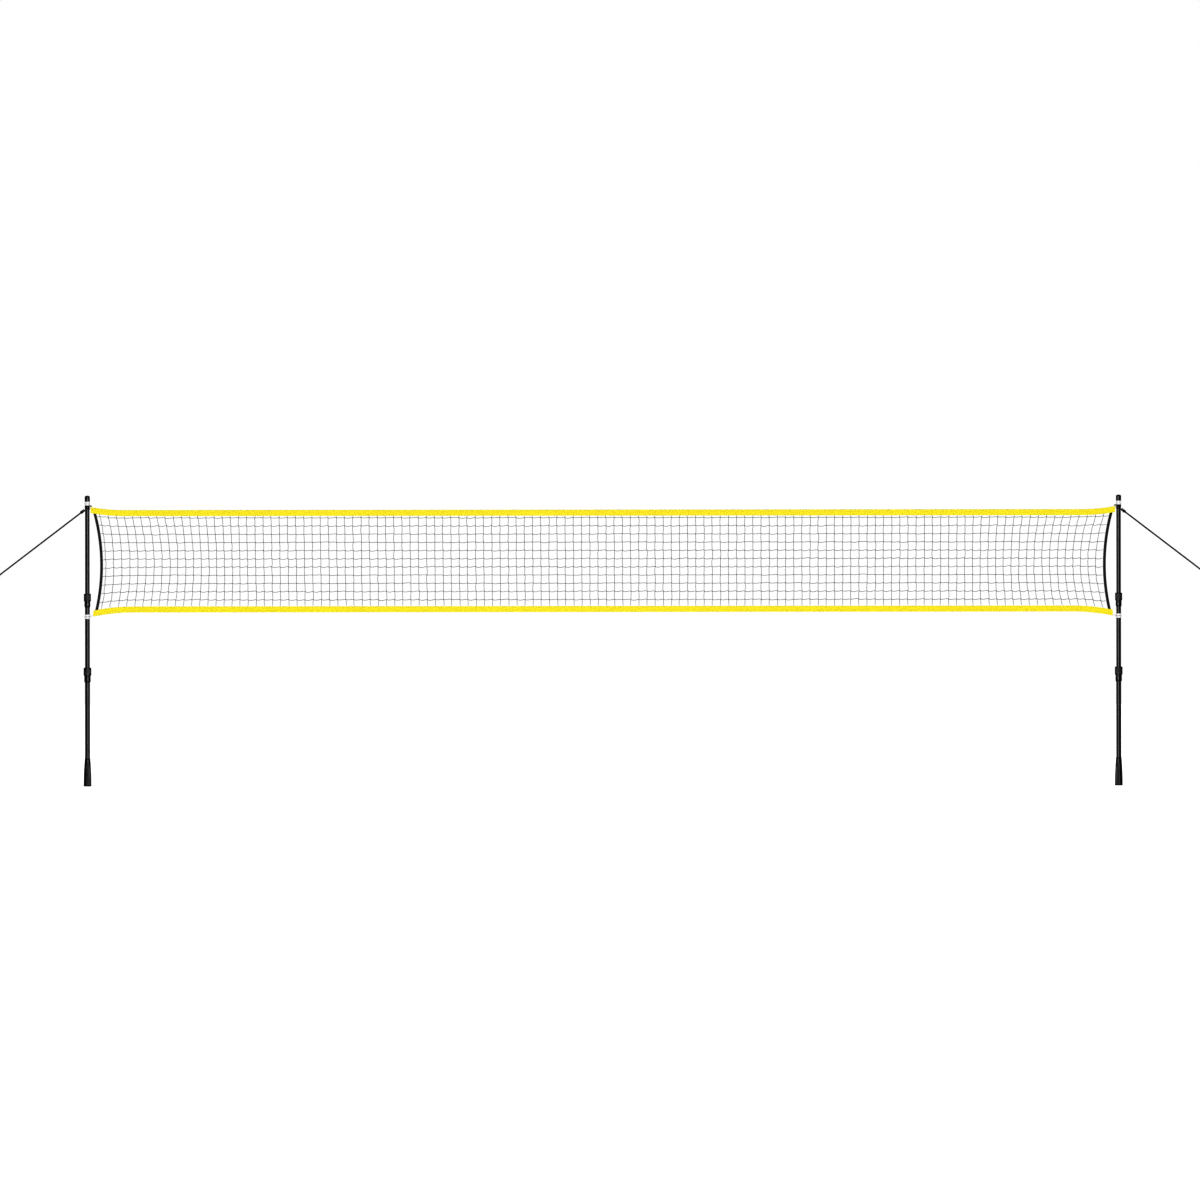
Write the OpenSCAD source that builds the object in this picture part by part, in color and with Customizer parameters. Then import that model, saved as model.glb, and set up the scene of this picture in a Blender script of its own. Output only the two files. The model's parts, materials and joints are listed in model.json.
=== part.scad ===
// Volleyball net on two telescopic poles, with twist-lock clamps and guy ropes.
// X runs along the net, Y is the depth, Z is up. The origin is on the ground, midway
// between the two poles. Millimetres.

/* [Poles] */
// Distance between the two pole axes
pole_spacing = 9075; // [6000:5:10000]
// Height of a pole over its cap
pole_h = 2558; // [2500:1:2800]
// Outer diameter of the lower tube
lower_tube_d = 42.8; // [40:0.1:46]
// Wall of all three tubes
tube_wall = 0.8; // [0.7:0.1:1.2]
// Height where the middle tube's end plug starts, inside the lower tube
middle_tube_z = 780; // [700:1:850]
// How far the top tube reaches below the upper clamp, inside the middle tube
top_tube_reach = 174; // [80:1:260]
// Rubber end plug under a sliding tube
bush_flange_h = 6; // [4:0.5:10]
// Length of the end plug inside its tube
bush_spigot_h = 30; // [20:1:50]
// Bore of the end plug
bush_bore_d = 26; // [10:1:30]

/* [Foot] */
// Height of the flared rubber boot
foot_h = 247; // [180:1:300]
// Width of the boot on the ground
foot_base_d = 67; // [62:1:80]
// Width of the boot at its mouth
foot_mouth_d = 46.4; // [46:0.1:50]
// Rubber under the end of the tube
foot_floor = 15; // [8:1:30]
// Grooves down the flank of the boot
foot_flutes = 10; // [6:1:14]
// Depth of the tread ring in the sole
foot_tread = 3; // [1:0.5:6]

/* [Twist-lock clamps] */
// Height of the underside of the lower clamp
lower_clamp_z = 914; // [880:1:960]
// Diameter of the lower clamp's sleeve
lower_sleeve_d = 55; // [53:0.5:60]
// Height of the lower clamp's sleeve
lower_sleeve_h = 59; // [54:1:80]
// Diameter of the lower locking nut
lower_nut_d = 66; // [63:0.5:72]
// Height of the lower locking nut
lower_nut_h = 71; // [60:1:90]
// Distance from a pole's top down to the underside of the upper clamp
upper_clamp_drop = 984; // [938:1:988]
// Diameter of the upper clamp's sleeve
upper_sleeve_d = 51; // [49:0.5:56]
// Height of the upper clamp's sleeve
upper_sleeve_h = 53; // [50:1:70]
// Diameter of the upper locking nut
upper_nut_d = 61; // [59:0.5:68]
// Height of the upper locking nut
upper_nut_h = 68; // [60:1:90]
// Depth of the tube in its sleeve
tube_seat = 40; // [25:1:45]
// Grip grooves round each nut
nut_grooves = 14; // [8:1:18]
// Lid of the nut, round the inner tube
nut_lid = 6; // [4:0.5:8]
// Wall of the split collet
collet_wall = 2.6; // [2.2:0.1:3]
// Wall of the threaded neck round the collet
neck_wall = 2.4; // [2:0.1:2.8]
// Height of the thread on the neck
thread_h = 0.7; // [0.4:0.1:0.9]

/* [Pole tops] */
// Height of the domed end cap
cap_h = 53; // [40:1:60]
// Diameter of the end cap
cap_d = 44.4; // [43:0.1:48]
// Depth of the tube in the end cap
cap_seat = 36; // [20:1:40]
// Height of the white ring under the cap
upper_collar_h = 34; // [20:1:36]
// Diameter of the white ring under the cap
upper_collar_d = 46; // [43:0.5:50]
// Distance from the white sliding ring up to the upper clamp
lower_collar_gap = 62; // [35:1:75]
// Height of the white sliding ring
lower_collar_h = 39; // [26:1:42]
// Diameter of the white sliding ring
lower_collar_d = 47; // [46:0.5:52]
// Wall left under the cord groove of the sliding ring
lower_collar_wall = 1.2; // [1:0.1:1.6]

/* [Net] */
// Distance from a pole's top down to the net's top edge at mid-span
net_drop = 128; // [108:1:148]
// Height of the whole net at mid-span, over both tapes
net_h = 900; // [880:5:910]
// Height of the yellow tapes
tape_h = 52; // [44:1:60]
// Thickness of a tape where it is sewn flat
tape_t = 4; // [3.2:0.2:5]
// Vinyl round the cord in a tape
tape_wall = 1.2; // [0.8:0.1:1.6]
// Gap between the top tape's end and the pole axis
top_tape_gap = 24; // [23.6:0.1:28]
// Gap between the bottom tape's end and the pole axis
bottom_tape_gap = 52; // [50:1:60]
// Rise of the top tape's end
top_tape_rise = 28; // [10:1:32]
// Length over which the top tape rises
top_rise_l = 310; // [200:5:500]
// Drop of the bottom tape's end
bottom_tape_drop = 36; // [20:1:40]
// Length over which the bottom tape drops
bottom_drop_l = 350; // [200:5:500]
// Width of the black bands down the net's ends
band_w = 20; // [12:1:26]
// Thickness of the side bands
band_t = 5; // [3:0.5:6]
// Distance from a side band's top to the pole axis
band_top_gap = 64; // [56:1:80]
// Distance from a side band's foot to the pole axis
band_foot_gap = 80; // [72:1:90]
// Inward bow of a side band between its ends
band_bow = 53; // [20:1:80]
// Rows of gaps in the netting
net_rows = 5; // [3:1:6]
// Columns of gaps in the netting
net_columns = 46; // [20:1:56]
// Thickness of the netting's strands
strand_d = 3; // [2:0.2:4]
// How far along the net the bow of its ends reaches
bow_reach = 1320; // [600:10:1600]
// How fully the bow is kept before it fades, where 1 fades evenly
bow_hold = 1.35; // [1:0.05:3]

/* [Cords and ropes] */
// Diameter of the black cord in the top tape
head_cord_d = 3.4; // [3:0.1:3.6]
// Turns of the head cord round a pole
head_turns = 5; // [3:1:5]
// Diameter of the white cord in the bottom tape
foot_cord_d = 4; // [3:0.1:4]
// Diameter of the cord that lashes the guy rope to a pole
lashing_d = 3.4; // [3:0.1:3.6]
// Turns of that lashing
lashing_turns = 3; // [2:1:3]
// Room between two turns of a cord
turn_gap = 0.5; // [0.45:0.01:0.6]
// Diameter of the guy rope
guy_d = 13; // [10:0.5:14]
// Diameter of the guy rope where it is drawn tight in an eye
eye_rope_d = 9.5; // [8:0.1:9.5]
// Radius of the rope eye at the pole, to the middle of the rope
pole_eye_r = 7.2; // [6.8:0.1:7.2]
// Radius of the rope eye at the hook, to the middle of the rope
hook_eye_r = 11; // [11:0.1:14]
// Length of the knot that closes a rope eye
knot_l = 29; // [24:1:29]
// Diameter of the knot
knot_d = 26; // [22:1:28]

/* [Guy hook] */
// Rod of the steel hook
hook_rod_d = 6; // [5:0.5:6]
// Radius of the hook's closed ring, to the middle of the rod
hook_ring_r = 13; // [13:0.5:16]
// Radius of the hook's bend, to the middle of the rod
hook_bend_r = 12; // [10:0.5:15]
// Distance between the middles of the ring and of the bend
hook_l = 60; // [45:1:80]
// How far the rod goes round the bend, in degrees
hook_sweep = 215; // [190:5:230]

/* [Hidden] */

black = "#161617";
satin_black = "#26272a";
white = "#e2dfe2";
yellow = "#f5df20";
steel = "#b9bcc0";

$fn = 48;

// Clearance of what slides or turns, and of what is seated for good
slide_gap = 0.3;
seat_gap = 0.1;

pole_x = pole_spacing / 2;
middle_tube_d = lower_tube_d - 2 * tube_wall - 2 * slide_gap;
top_tube_d = middle_tube_d - 2 * tube_wall - 2 * slide_gap;
cap_z = pole_h - cap_h;
upper_collar_z = cap_z - upper_collar_h;
upper_clamp_z = pole_h - upper_clamp_drop;
top_tube_z = upper_clamp_z - top_tube_reach;
lower_collar_z = upper_clamp_z - lower_collar_gap - lower_collar_h;
net_top_z = pole_h - net_drop;

// ---- clamp sizes, all from the tube that slides through ----
function bore_r(inner_d) = inner_d / 2 + slide_gap;
function collet_r(inner_d) = bore_r(inner_d) + collet_wall;
function neck_r(inner_d) = collet_r(inner_d) + neck_wall;
function nut_bore_r(inner_d) = neck_r(inner_d) + thread_h + slide_gap;
collet_drop = 2;
collet_head = 8;
collet_head_lip = 1.5;
collet_slits = 4;
collet_slit_w = 1.6;
thread_pitch = 7;
groove_depth = 1.6;
groove_r = 3.4;
groove_end = 9;

// ---- net edges, as heights along the net ----
top_tape_x = pole_x - top_tape_gap;
bottom_tape_x = pole_x - bottom_tape_gap;
net_bottom_z = net_top_z - net_h;
edge_steps = 8;

// How far along its flared end a point of a tape is, squared
function flare(x, tape_x, l) = pow(max(0, abs(x) - tape_x + l) / l, 2);
function top_edge_z(x) = net_top_z + top_tape_rise * flare(x, top_tape_x, top_rise_l);
function bottom_edge_z(x) =
  net_bottom_z - bottom_tape_drop * flare(x, bottom_tape_x, bottom_drop_l);
function mesh_top_z(x) = top_edge_z(x) - tape_h;
function mesh_bottom_z(x) = bottom_edge_z(x) + tape_h;

// Sample places along the net: straight in the middle, close together in the flares
function along(tape_x, l) = concat(
  [for (i = [edge_steps:-1:0]) -(tape_x - l + l * i / edge_steps)],
  [for (i = [0:edge_steps]) tape_x - l + l * i / edge_steps]
);

// Distance of a side band's middle from the pole axis, t from 0 at its foot to 1 on top
function band_gap(t) =
  band_foot_gap + (band_top_gap - band_foot_gap) * t + 4 * band_bow * t * (1 - t);
band_top_z = mesh_top_z(pole_x - band_top_gap);
band_foot_z = mesh_bottom_z(pole_x - band_foot_gap);
band_steps = 12;
net_clear = 0.3;
net_end_clear = 1.2;

// ---- cord routes ----
cord_sides = 6;
// Radius of a cord's turns, which clear a round face in the middle of each straight step
function turn_r(face_r, d, steps) = (face_r + seat_gap) / cos(180 / steps) + d / 2;
turn_steps = 12;
head_channel = 9;
head_coil_r = turn_r(top_tube_d / 2, head_cord_d, turn_steps);
head_pitch = head_cord_d + turn_gap;
head_leave = 115;
head_top_z = upper_collar_z - head_cord_d / 2 - seat_gap;
// The last turn stops on the net's side of the pole
head_sweep = 360 * head_turns - (180 - head_leave);
head_coil_z = head_top_z - head_pitch * head_sweep / 360;

foot_channel = 7;
foot_groove_r = middle_tube_d / 2 + slide_gap + lower_collar_wall;
foot_coil_r = turn_r(foot_groove_r, foot_cord_d, turn_steps);
foot_pitch = foot_cord_d + turn_gap;
foot_leave = 110;
foot_sweep = 430;
foot_groove_h = foot_pitch * foot_sweep / 360 + foot_cord_d + 2 * seat_gap;
foot_coil_z = lower_collar_z + lower_collar_h / 2 + foot_pitch * foot_sweep / 720;

lashing_steps = 16;
lashing_pitch = lashing_d + turn_gap;
lashing_coil_r = turn_r(top_tube_d / 2, lashing_d, lashing_steps);
lashing_top_z = head_coil_z - head_cord_d / 2 - turn_gap - lashing_d / 2;
lashing_z = lashing_top_z - lashing_pitch * lashing_turns;
lashing_reach = 55;
lashing_narrow = 0.6;

// The guy rope's route, outward from the pole axis and down from the pole's top
guy_points = [[60, 154], [210, 268.5], [360, 383], [510, 497.5], [660, 612], [810, 727]];
guy_start = [guy_points[0][0], pole_h - guy_points[0][1]];
guy_end = [guy_points[len(guy_points) - 1][0], pole_h - guy_points[len(guy_points) - 1][1]];
guy_spans = 6;
guy_route = [for (i = [0:guy_spans * (len(guy_points) - 1)])
  let (
    k = min(floor(i / guy_spans), len(guy_points) - 2),
    p = guy_points[k] + (guy_points[k + 1] - guy_points[k]) * (i / guy_spans - k)
  )
    [p[0], 0, pole_h - p[1]]];
guy_run = guy_end - guy_start;
guy_fall = atan2(-guy_run[1], guy_run[0]);
guy_sides = 10;
eye_lean = 30;
eye_sides = 8;
eye_steps = 12;
eye_throat_y = eye_rope_d / 2 + seat_gap;
function eye_leg(r) = (r * cos(eye_lean) - eye_throat_y) / sin(eye_lean);
function eye_throat(r) = r * sin(eye_lean) + eye_leg(r) * cos(eye_lean);
// Round an eye, which opens at the origin and lies at -X
function eye_route(r) = concat(
  [[0, eye_throat_y, 0]],
  [for (i = [0:eye_steps])
    let (a = 90 - eye_lean + (180 + 2 * eye_lean) * i / eye_steps)
      [r * cos(a) - eye_throat(r), r * sin(a), 0]],
  [[0, -eye_throat_y, 0]]
);
pole_eye_back = knot_l + eye_throat(pole_eye_r);
pole_eye_x = guy_start[0] - pole_eye_back * cos(guy_fall);
pole_eye_z = guy_start[1] + pole_eye_back * sin(guy_fall);
knot_turns = 3;
hook_ring_x = knot_l + eye_throat(hook_eye_r) + hook_eye_r - eye_rope_d / 2
  - slide_gap - hook_rod_d / 2 + hook_ring_r;
hook_sides = 10;
hook_ring_sweep = 325;
hook_ring_steps = 18;
hook_bend_steps = 12;
// The rod runs round the closed ring, slants across and runs back round the open bend
hook_slant = asin((hook_ring_r + hook_bend_r) / hook_l);
hook_route = concat(
  [for (i = [0:hook_ring_steps])
    let (a = hook_slant - 90 - hook_ring_sweep * (1 - i / hook_ring_steps))
      hook_ring_r * [cos(a), sin(a), 0]],
  [for (i = [0:hook_bend_steps])
    let (a = 90 + hook_slant - hook_sweep * i / hook_bend_steps)
      [hook_l, 0, 0] + hook_bend_r * [cos(a), sin(a), 0]]
);

// ---- swept tubes ----
function unit(v) = v / norm(v);
function bezier(a, b, c, d, t) =
  pow(1 - t, 3) * a + 3 * pow(1 - t, 2) * t * b + 3 * (1 - t) * t * t * c + pow(t, 3) * d;
function tangent(path, i) =
  unit(path[min(i + 1, len(path) - 1)] - path[max(i - 1, 0)]);
// Every route is drawn more level than steep, so the rings can be squared up to Z
function ring(path, i, r, sides) =
  let (t = tangent(path, i), s = unit(cross([0, 0, 1], t)), u = cross(t, s))
    [for (k = [0:sides - 1]) path[i] + r * (cos(360 * k / sides) * s + sin(360 * k / sides) * u)];

// The diameter is one number, or one for each point of the route
module swept(path, d, sides) {
  n = len(path);
  points = [for (i = [0:n - 1]) each ring(path, i, (is_list(d) ? d[i] : d) / 2, sides)];
  walls = [for (i = [0:n - 2]) for (k = [0:sides - 1])
    let (a = i * sides + k, b = i * sides + (k + 1) % sides)
      each [[a, a + sides, b], [b, a + sides, b + sides]]];
  first_end = [for (k = [1:sides - 2]) [0, k, k + 1]];
  base = (n - 1) * sides;
  last_end = [for (k = [1:sides - 2]) [base, base + k + 1, base + k]];
  polyhedron(points, concat(first_end, walls, last_end));
}

// Least gap of a cord to itself, between points more than a short run apart
function self_gap(path, d, apart) =
  min([for (i = [0:len(path) - 1]) for (j = [i + apart:1:len(path) - 1])
    norm(path[i] - path[j]) - (is_list(d) ? (d[i] + d[j]) / 2 : d)]);

// A route given on the right-hand pole, in the whole object's frame
function on_right(path) = [for (p = path) [pole_x + p[0], p[1], p[2]]];
function on_left(path) = [for (p = path) [-pole_x - p[0], p[1], p[2]]];
function reversed(path) = [for (i = [len(path) - 1:-1:0]) path[i]];

// Turns round the pole, from the angle where a cord arrives, and then on round it
function coil(r, z, pitch, from, sweep) =
  let (n = round(turn_steps * sweep / 360))
    [for (i = [0:n]) let (a = from - sweep * i / n)
      [r * cos(a), r * sin(a), z + pitch * sweep * i / n / 360]];

// From a tape's mouth on the net side, in a curve on to the turns round the pole
function lead_in(mouth, r, z, from, pull, curl, steps) =
  let (p = [r * cos(from), r * sin(from), z], t = [-sin(from), cos(from), 0])
    [for (i = [0:steps - 1]) bezier(mouth, mouth + [pull, 0, 0], p + curl * t, p, i / steps)];

head_mouth_z = top_edge_z(top_tape_x) - head_channel;
// The cord's end turns away from the pole and is knotted: outward, sideways and thickness
head_tail = [[0.6, 1.6, 1], [2.2, 2.8, 1], [3, 3, 1.6], [4.6, 3, 2.5], [8.2, 3, 2.5], [10.4, 3, 1.5]];
head_end = concat(
  lead_in([-top_tape_gap + 1, 0, head_mouth_z], head_coil_r, head_coil_z, head_leave, 1, 14, 6),
  coil(head_coil_r, head_coil_z, head_pitch, head_leave, head_sweep),
  [for (p = head_tail) [-head_coil_r - p[0], p[1], head_top_z]]
);
head_middle = [for (x = along(top_tape_x - 12, top_rise_l - 12)) [x, 0, top_edge_z(x) - head_channel]];
head_route = concat(reversed(on_left(head_end)), head_middle, on_right(head_end));
head_route_d = [for (i = [0:len(head_route) - 1])
  let (k = len(head_tail) - 1 - min(i, len(head_route) - 1 - i))
    head_cord_d * (k < 0 ? 1 : head_tail[k][2])];

foot_mouth_z = bottom_edge_z(bottom_tape_x) + foot_channel;
foot_end = concat(
  lead_in([-bottom_tape_gap + 1, 0, foot_mouth_z], foot_coil_r, foot_coil_z, foot_leave, 11, 18, 6),
  coil(foot_coil_r, foot_coil_z, -foot_pitch, foot_leave, foot_sweep)
);
foot_middle = [for (x = along(bottom_tape_x - 12, bottom_drop_l - 12))
  [x, 0, bottom_edge_z(x) + foot_channel]];
foot_route = concat(reversed(on_left(foot_end)), foot_middle, on_right(foot_end));

// The lowest turn of the lashing is drawn out and down through the eye of the guy rope
function drawn_out(turn) =
  let (a = (turn - 0.5) * 360)
    abs(a) >= lashing_reach ? 0 : pow(cos(90 * a / lashing_reach), 2 * lashing_narrow);
lashing_route = [for (i = [0:lashing_steps * lashing_turns])
  let (
    turn = i / lashing_steps,
    a = 180 - 360 * turn,
    pull = drawn_out(turn),
    r = lashing_coil_r + (pole_eye_x - lashing_coil_r) * pull,
    z = lashing_z + lashing_pitch * turn
  )
    [r * cos(a), r * sin(a), z + (pole_eye_z - lashing_z - lashing_pitch / 2) * pull]];

echo(head_cord_gap = self_gap(head_route, head_route_d, 7));
echo(foot_cord_gap = self_gap(foot_route, foot_cord_d, 6));
echo(lashing_gap = self_gap(lashing_route, lashing_d, 8));

// ---- placing ----
module at_pole(side) {
  if (side == "left")
    mirror([1, 0, 0]) translate([pole_x, 0, 0]) children();
  else
    translate([pole_x, 0, 0]) children();
}

module lathe(profile) {
  rotate_extrude() polygon(profile);
}

// Quarter round of a profile, about a centre, from one angle to another
function round_off(r, z, radius, from, to) =
  [for (i = [0:3]) let (a = from + (to - from) * i / 3) [r + radius * cos(a), z + radius * sin(a)]];

// ---- poles ----
module foot() {
  foot_steps = 6;
  edge = 2.5;
  mouth_r = foot_mouth_d / 2;
  base_r = foot_base_d / 2;
  bore = lower_tube_d / 2 + seat_gap;
  flank = [for (i = [0:foot_steps]) let (t = i / foot_steps)
    [mouth_r + (base_r - mouth_r) * (1 - t * t), edge + (foot_h - edge) * t]];
  tread_r = base_r * 0.55;
  tread_w = 5;
  flute_r = 7;
  flute_top = foot_h * 0.78;
  flute_top_r = mouth_r + (base_r - mouth_r) * (1 - pow(0.78, 2));
  flute_out = flute_r - 0.5;
  color(black)
    difference() {
      lathe(concat(
        [[0, 0], [tread_r, 0], [tread_r, foot_tread], [tread_r + tread_w, foot_tread]],
        [[tread_r + tread_w, 0], [base_r - edge, 0]],
        flank,
        [[bore, foot_h], [bore, foot_floor], [0, foot_floor]]
      ));
      for (i = [0:foot_flutes - 1])
        rotate([0, 0, 360 * (i + 0.5) / foot_flutes])
          translate([base_r + flute_out, 0, 0])
            rotate([0, -atan2(base_r - flute_top_r, flute_top), 0])
              cylinder(r = flute_r, h = flute_top);
    }
}

module tube(d, z0, z1) {
  color(satin_black)
    translate([0, 0, z0])
      difference() {
        cylinder(d = d, h = z1 - z0);
        translate([0, 0, -1]) cylinder(d = d - 2 * tube_wall, h = z1 - z0 + 2);
      }
}

// Plug that closes and guides the lower end of a sliding tube
module bush(d, z) {
  spigot_r = d / 2 - tube_wall - seat_gap;
  color(black)
    translate([0, 0, z])
      lathe([
        [bush_bore_d / 2, 0], [d / 2 - 1, 0], [d / 2, 1], [d / 2, bush_flange_h],
        [spigot_r, bush_flange_h], [spigot_r, bush_flange_h + bush_spigot_h],
        [bush_bore_d / 2, bush_flange_h + bush_spigot_h]
      ]);
}

// ---- twist-lock clamps ----
module clamp_sleeve(z, tube_d, inner_d, sleeve_d, sleeve_h, nut_h) {
  tube_r = tube_d / 2 + seat_gap;
  sleeve_r = sleeve_d / 2;
  neck = neck_r(inner_d);
  top = sleeve_h + nut_h - nut_lid - collet_head;
  lip = 2;
  taper = 10;
  thread = [for (i = [0:floor((top - sleeve_h - 8) / thread_pitch) - 1])
    let (s = sleeve_h + 3 + thread_pitch * i)
      each [[neck, s], [neck + thread_h, s + 1], [neck + thread_h, s + 2.5], [neck, s + 3.5]]];
  color(black)
    translate([0, 0, z])
      lathe(concat(
        [[tube_r, 0], [tube_r + lip, 0]],
        round_off(sleeve_r - 4, taper, 4, -50, 0),
        [[sleeve_r, sleeve_h - 12], [sleeve_r - 1, sleeve_h - 10], [sleeve_r - 1, sleeve_h - 7]],
        [[sleeve_r, sleeve_h - 5], [sleeve_r, sleeve_h], [neck, sleeve_h]],
        thread,
        [[neck, top], [collet_r(inner_d), top], [collet_r(inner_d), sleeve_h - collet_drop]],
        [[bore_r(inner_d), sleeve_h - collet_drop], [bore_r(inner_d), tube_seat], [tube_r, tube_seat]]
      ));
}

module collet(z, inner_d, sleeve_h, nut_h) {
  floor_z = sleeve_h - collet_drop;
  top = sleeve_h + nut_h - nut_lid - slide_gap;
  neck_top = top + slide_gap - collet_head;
  outer = collet_r(inner_d) - seat_gap;
  head = outer + collet_head_lip;
  color(satin_black)
    translate([0, 0, z])
      difference() {
        lathe([
          [bore_r(inner_d), floor_z], [outer, floor_z], [outer, neck_top + seat_gap],
          [head, neck_top + seat_gap + 1], [head, top - 3], [outer, top], [bore_r(inner_d), top]
        ]);
        for (i = [0:collet_slits - 1])
          rotate([0, 0, 360 * i / collet_slits + 20])
            translate([0, -collet_slit_w / 2, floor_z + 15])
              cube([head + 1, collet_slit_w, top - floor_z]);
      }
}

module nut(z, inner_d, nut_d, sleeve_h, nut_h) {
  nut_r = nut_d / 2;
  bore = nut_bore_r(inner_d);
  low = sleeve_h + slide_gap;
  top = sleeve_h + nut_h;
  foot_round = 4;
  top_round = 7;
  color(black)
    translate([0, 0, z])
      difference() {
        lathe(concat(
          [[bore, low]],
          round_off(nut_r - foot_round, low + foot_round, foot_round, -90, 0),
          round_off(nut_r - top_round, top - top_round, top_round, 0, 90),
          [[bore_r(inner_d), top], [bore_r(inner_d), top - nut_lid], [bore, top - nut_lid]]
        ));
        for (i = [0:nut_grooves - 1])
          rotate([0, 0, 360 * i / nut_grooves])
            translate([nut_r + groove_r - groove_depth, 0, low + groove_end])
              cylinder(r = groove_r, h = top - low - 2 * groove_end, $fn = 24);
      }
}

// ---- pole tops and rings ----
module top_cap() {
  dome_h = 12;
  cap_r = cap_d / 2;
  bore = top_tube_d / 2 + seat_gap;
  dome = [for (i = [0:4]) let (a = 90 * i / 4) [cap_r * cos(a), cap_h - dome_h + dome_h * sin(a)]];
  color(black)
    translate([0, 0, cap_z])
      lathe(concat(
        [[bore, 0], [cap_r - 0.8, 0], [cap_r, 0.8]],
        dome,
        [[0, cap_seat], [bore, cap_seat]]
      ));
}

module upper_collar() {
  bore = top_tube_d / 2 + seat_gap;
  collar_r = upper_collar_d / 2;
  waist = 1;
  middle = upper_collar_h / 2;
  color(white)
    translate([0, 0, upper_collar_z])
      lathe([
        [bore, 0], [collar_r - 1, 0], [collar_r, 1], [collar_r, middle - 5],
        [collar_r - waist, middle - 3], [collar_r - waist, middle + 3], [collar_r, middle + 5],
        [collar_r, upper_collar_h - 1], [collar_r - 1, upper_collar_h], [bore, upper_collar_h]
      ]);
}

// Ring that slides on the middle tube, with a groove for the white cord
module lower_collar() {
  bore = middle_tube_d / 2 + slide_gap;
  collar_r = lower_collar_d / 2;
  groove_z = lower_collar_h / 2 - foot_groove_h / 2;
  color(white)
    translate([0, 0, lower_collar_z])
      lathe([
        [bore, 0], [collar_r - 1, 0], [collar_r, 1], [collar_r, groove_z],
        [foot_groove_r, groove_z], [foot_groove_r, groove_z + foot_groove_h],
        [collar_r, groove_z + foot_groove_h], [collar_r, lower_collar_h - 1],
        [collar_r - 1, lower_collar_h], [bore, lower_collar_h]
      ]);
}

// ---- guy ropes, along +X from the knot's outer face ----
module along_guy(at, turned) {
  translate([at[0], 0, at[1]]) rotate([0, guy_fall + turned, 0]) children();
}

// Knot at a rope's end, from -X to the origin, with the eye that it closes beyond it
module rope_eye(r) {
  knot_r = knot_d / 2;
  turn_l = knot_l / knot_turns;
  waist = 0.8;
  bumps = [for (i = [0:knot_turns - 1]) each [
    [knot_r * waist, -knot_l + turn_l * (i + 0.08)], [knot_r, -knot_l + turn_l * (i + 0.32)],
    [knot_r, -knot_l + turn_l * (i + 0.68)], [knot_r * waist, -knot_l + turn_l * (i + 0.92)]
  ]];
  color(black) {
    rotate([0, 90, 0])
      rotate_extrude($fn = 24)
        polygon(concat([[0, -knot_l], [knot_r * 0.7, -knot_l]], bumps, [[knot_r * 0.6, 0], [0, 0]]));
    translate([-knot_l, 0, 0]) swept(eye_route(r), eye_rope_d, eye_sides);
  }
}

// The eye at the pole stands upright, and the one at the hook lies level
module guy_eye() {
  along_guy(guy_start, 0) rotate([90, 0, 0]) rope_eye(pole_eye_r);
}

module guy_end_eye() {
  along_guy(guy_end, 180) rope_eye(hook_eye_r);
}

module guy_rope() {
  color(black) swept(guy_route, guy_d, guy_sides);
}

module guy_lashing() {
  color(black) swept(lashing_route, lashing_d, cord_sides);
}

module guy_hook() {
  color(steel)
    along_guy(guy_end, 0)
      translate([hook_ring_x, 0, 0])
        rotate([90, 0, 0]) swept(hook_route, hook_rod_d, hook_sides);
}

// ---- net ----
// Upright plate in the net's plane, from an outline in X and Z
module plate(t) {
  rotate([90, 0, 0]) linear_extrude(t, center = true) children();
}

// Strip of a tape between two depths from its outer edge; dir is -1 on the top tape
module strip(xs, dir, near, far) {
  top = dir < 0;
  a = [for (x = xs) [x, (top ? top_edge_z(x) : bottom_edge_z(x)) + dir * near]];
  b = [for (x = xs) [x, (top ? top_edge_z(x) : bottom_edge_z(x)) + dir * far]];
  polygon(concat(a, reversed(b)));
}

// Tape folded over a cord and sewn flat below it
module tape(tape_x, l, dir, channel, cord_d) {
  xs = along(tape_x, l);
  open_xs = along(tape_x + 1, l + 1);
  hollow = cord_d + 4 * seat_gap;
  sleeve = channel + hollow / 2 + tape_wall;
  color(yellow)
    difference() {
      union() {
        plate(tape_t) strip(xs, dir, 0, tape_h);
        plate(hollow + 2 * tape_wall) strip(xs, dir, 0, sleeve);
      }
      plate(hollow) strip(open_xs, dir, channel - hollow / 2, channel + hollow / 2);
    }
}

module top_tape() {
  tape(top_tape_x, top_rise_l, -1, head_channel, head_cord_d);
}

module bottom_tape() {
  tape(bottom_tape_x, bottom_drop_l, 1, foot_channel, foot_cord_d);
}

// Points down one edge of a band, shifted from the middle of the band towards the net
function band_edge(shift, from, to) =
  [for (i = [0:band_steps]) let (t = from + (to - from) * i / band_steps)
    [pole_x - band_gap(t) - shift, band_foot_z + (band_top_z - band_foot_z) * t]];

module side_band() {
  xs = along(top_tape_x, top_rise_l);
  low_xs = along(bottom_tape_x, bottom_drop_l);
  color(black)
    plate(band_t)
      difference() {
        polygon(concat(band_edge(-band_w / 2, -0.02, 1.02), reversed(band_edge(band_w / 2, -0.02, 1.02))));
        strip(xs, -1, -tape_h, tape_h + net_clear);
        strip(low_xs, 1, -tape_h, tape_h + net_clear);
      }
}

// End of the netting at a height v, from 0 at its foot to 1 on top: straight, and bowed
function net_end_chord(v) =
  pole_x - band_foot_gap - (band_top_gap - band_foot_gap) * v - band_w / 2 - net_end_clear;
net_pitch = 2 * net_end_chord(0.5) / net_columns;
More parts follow.
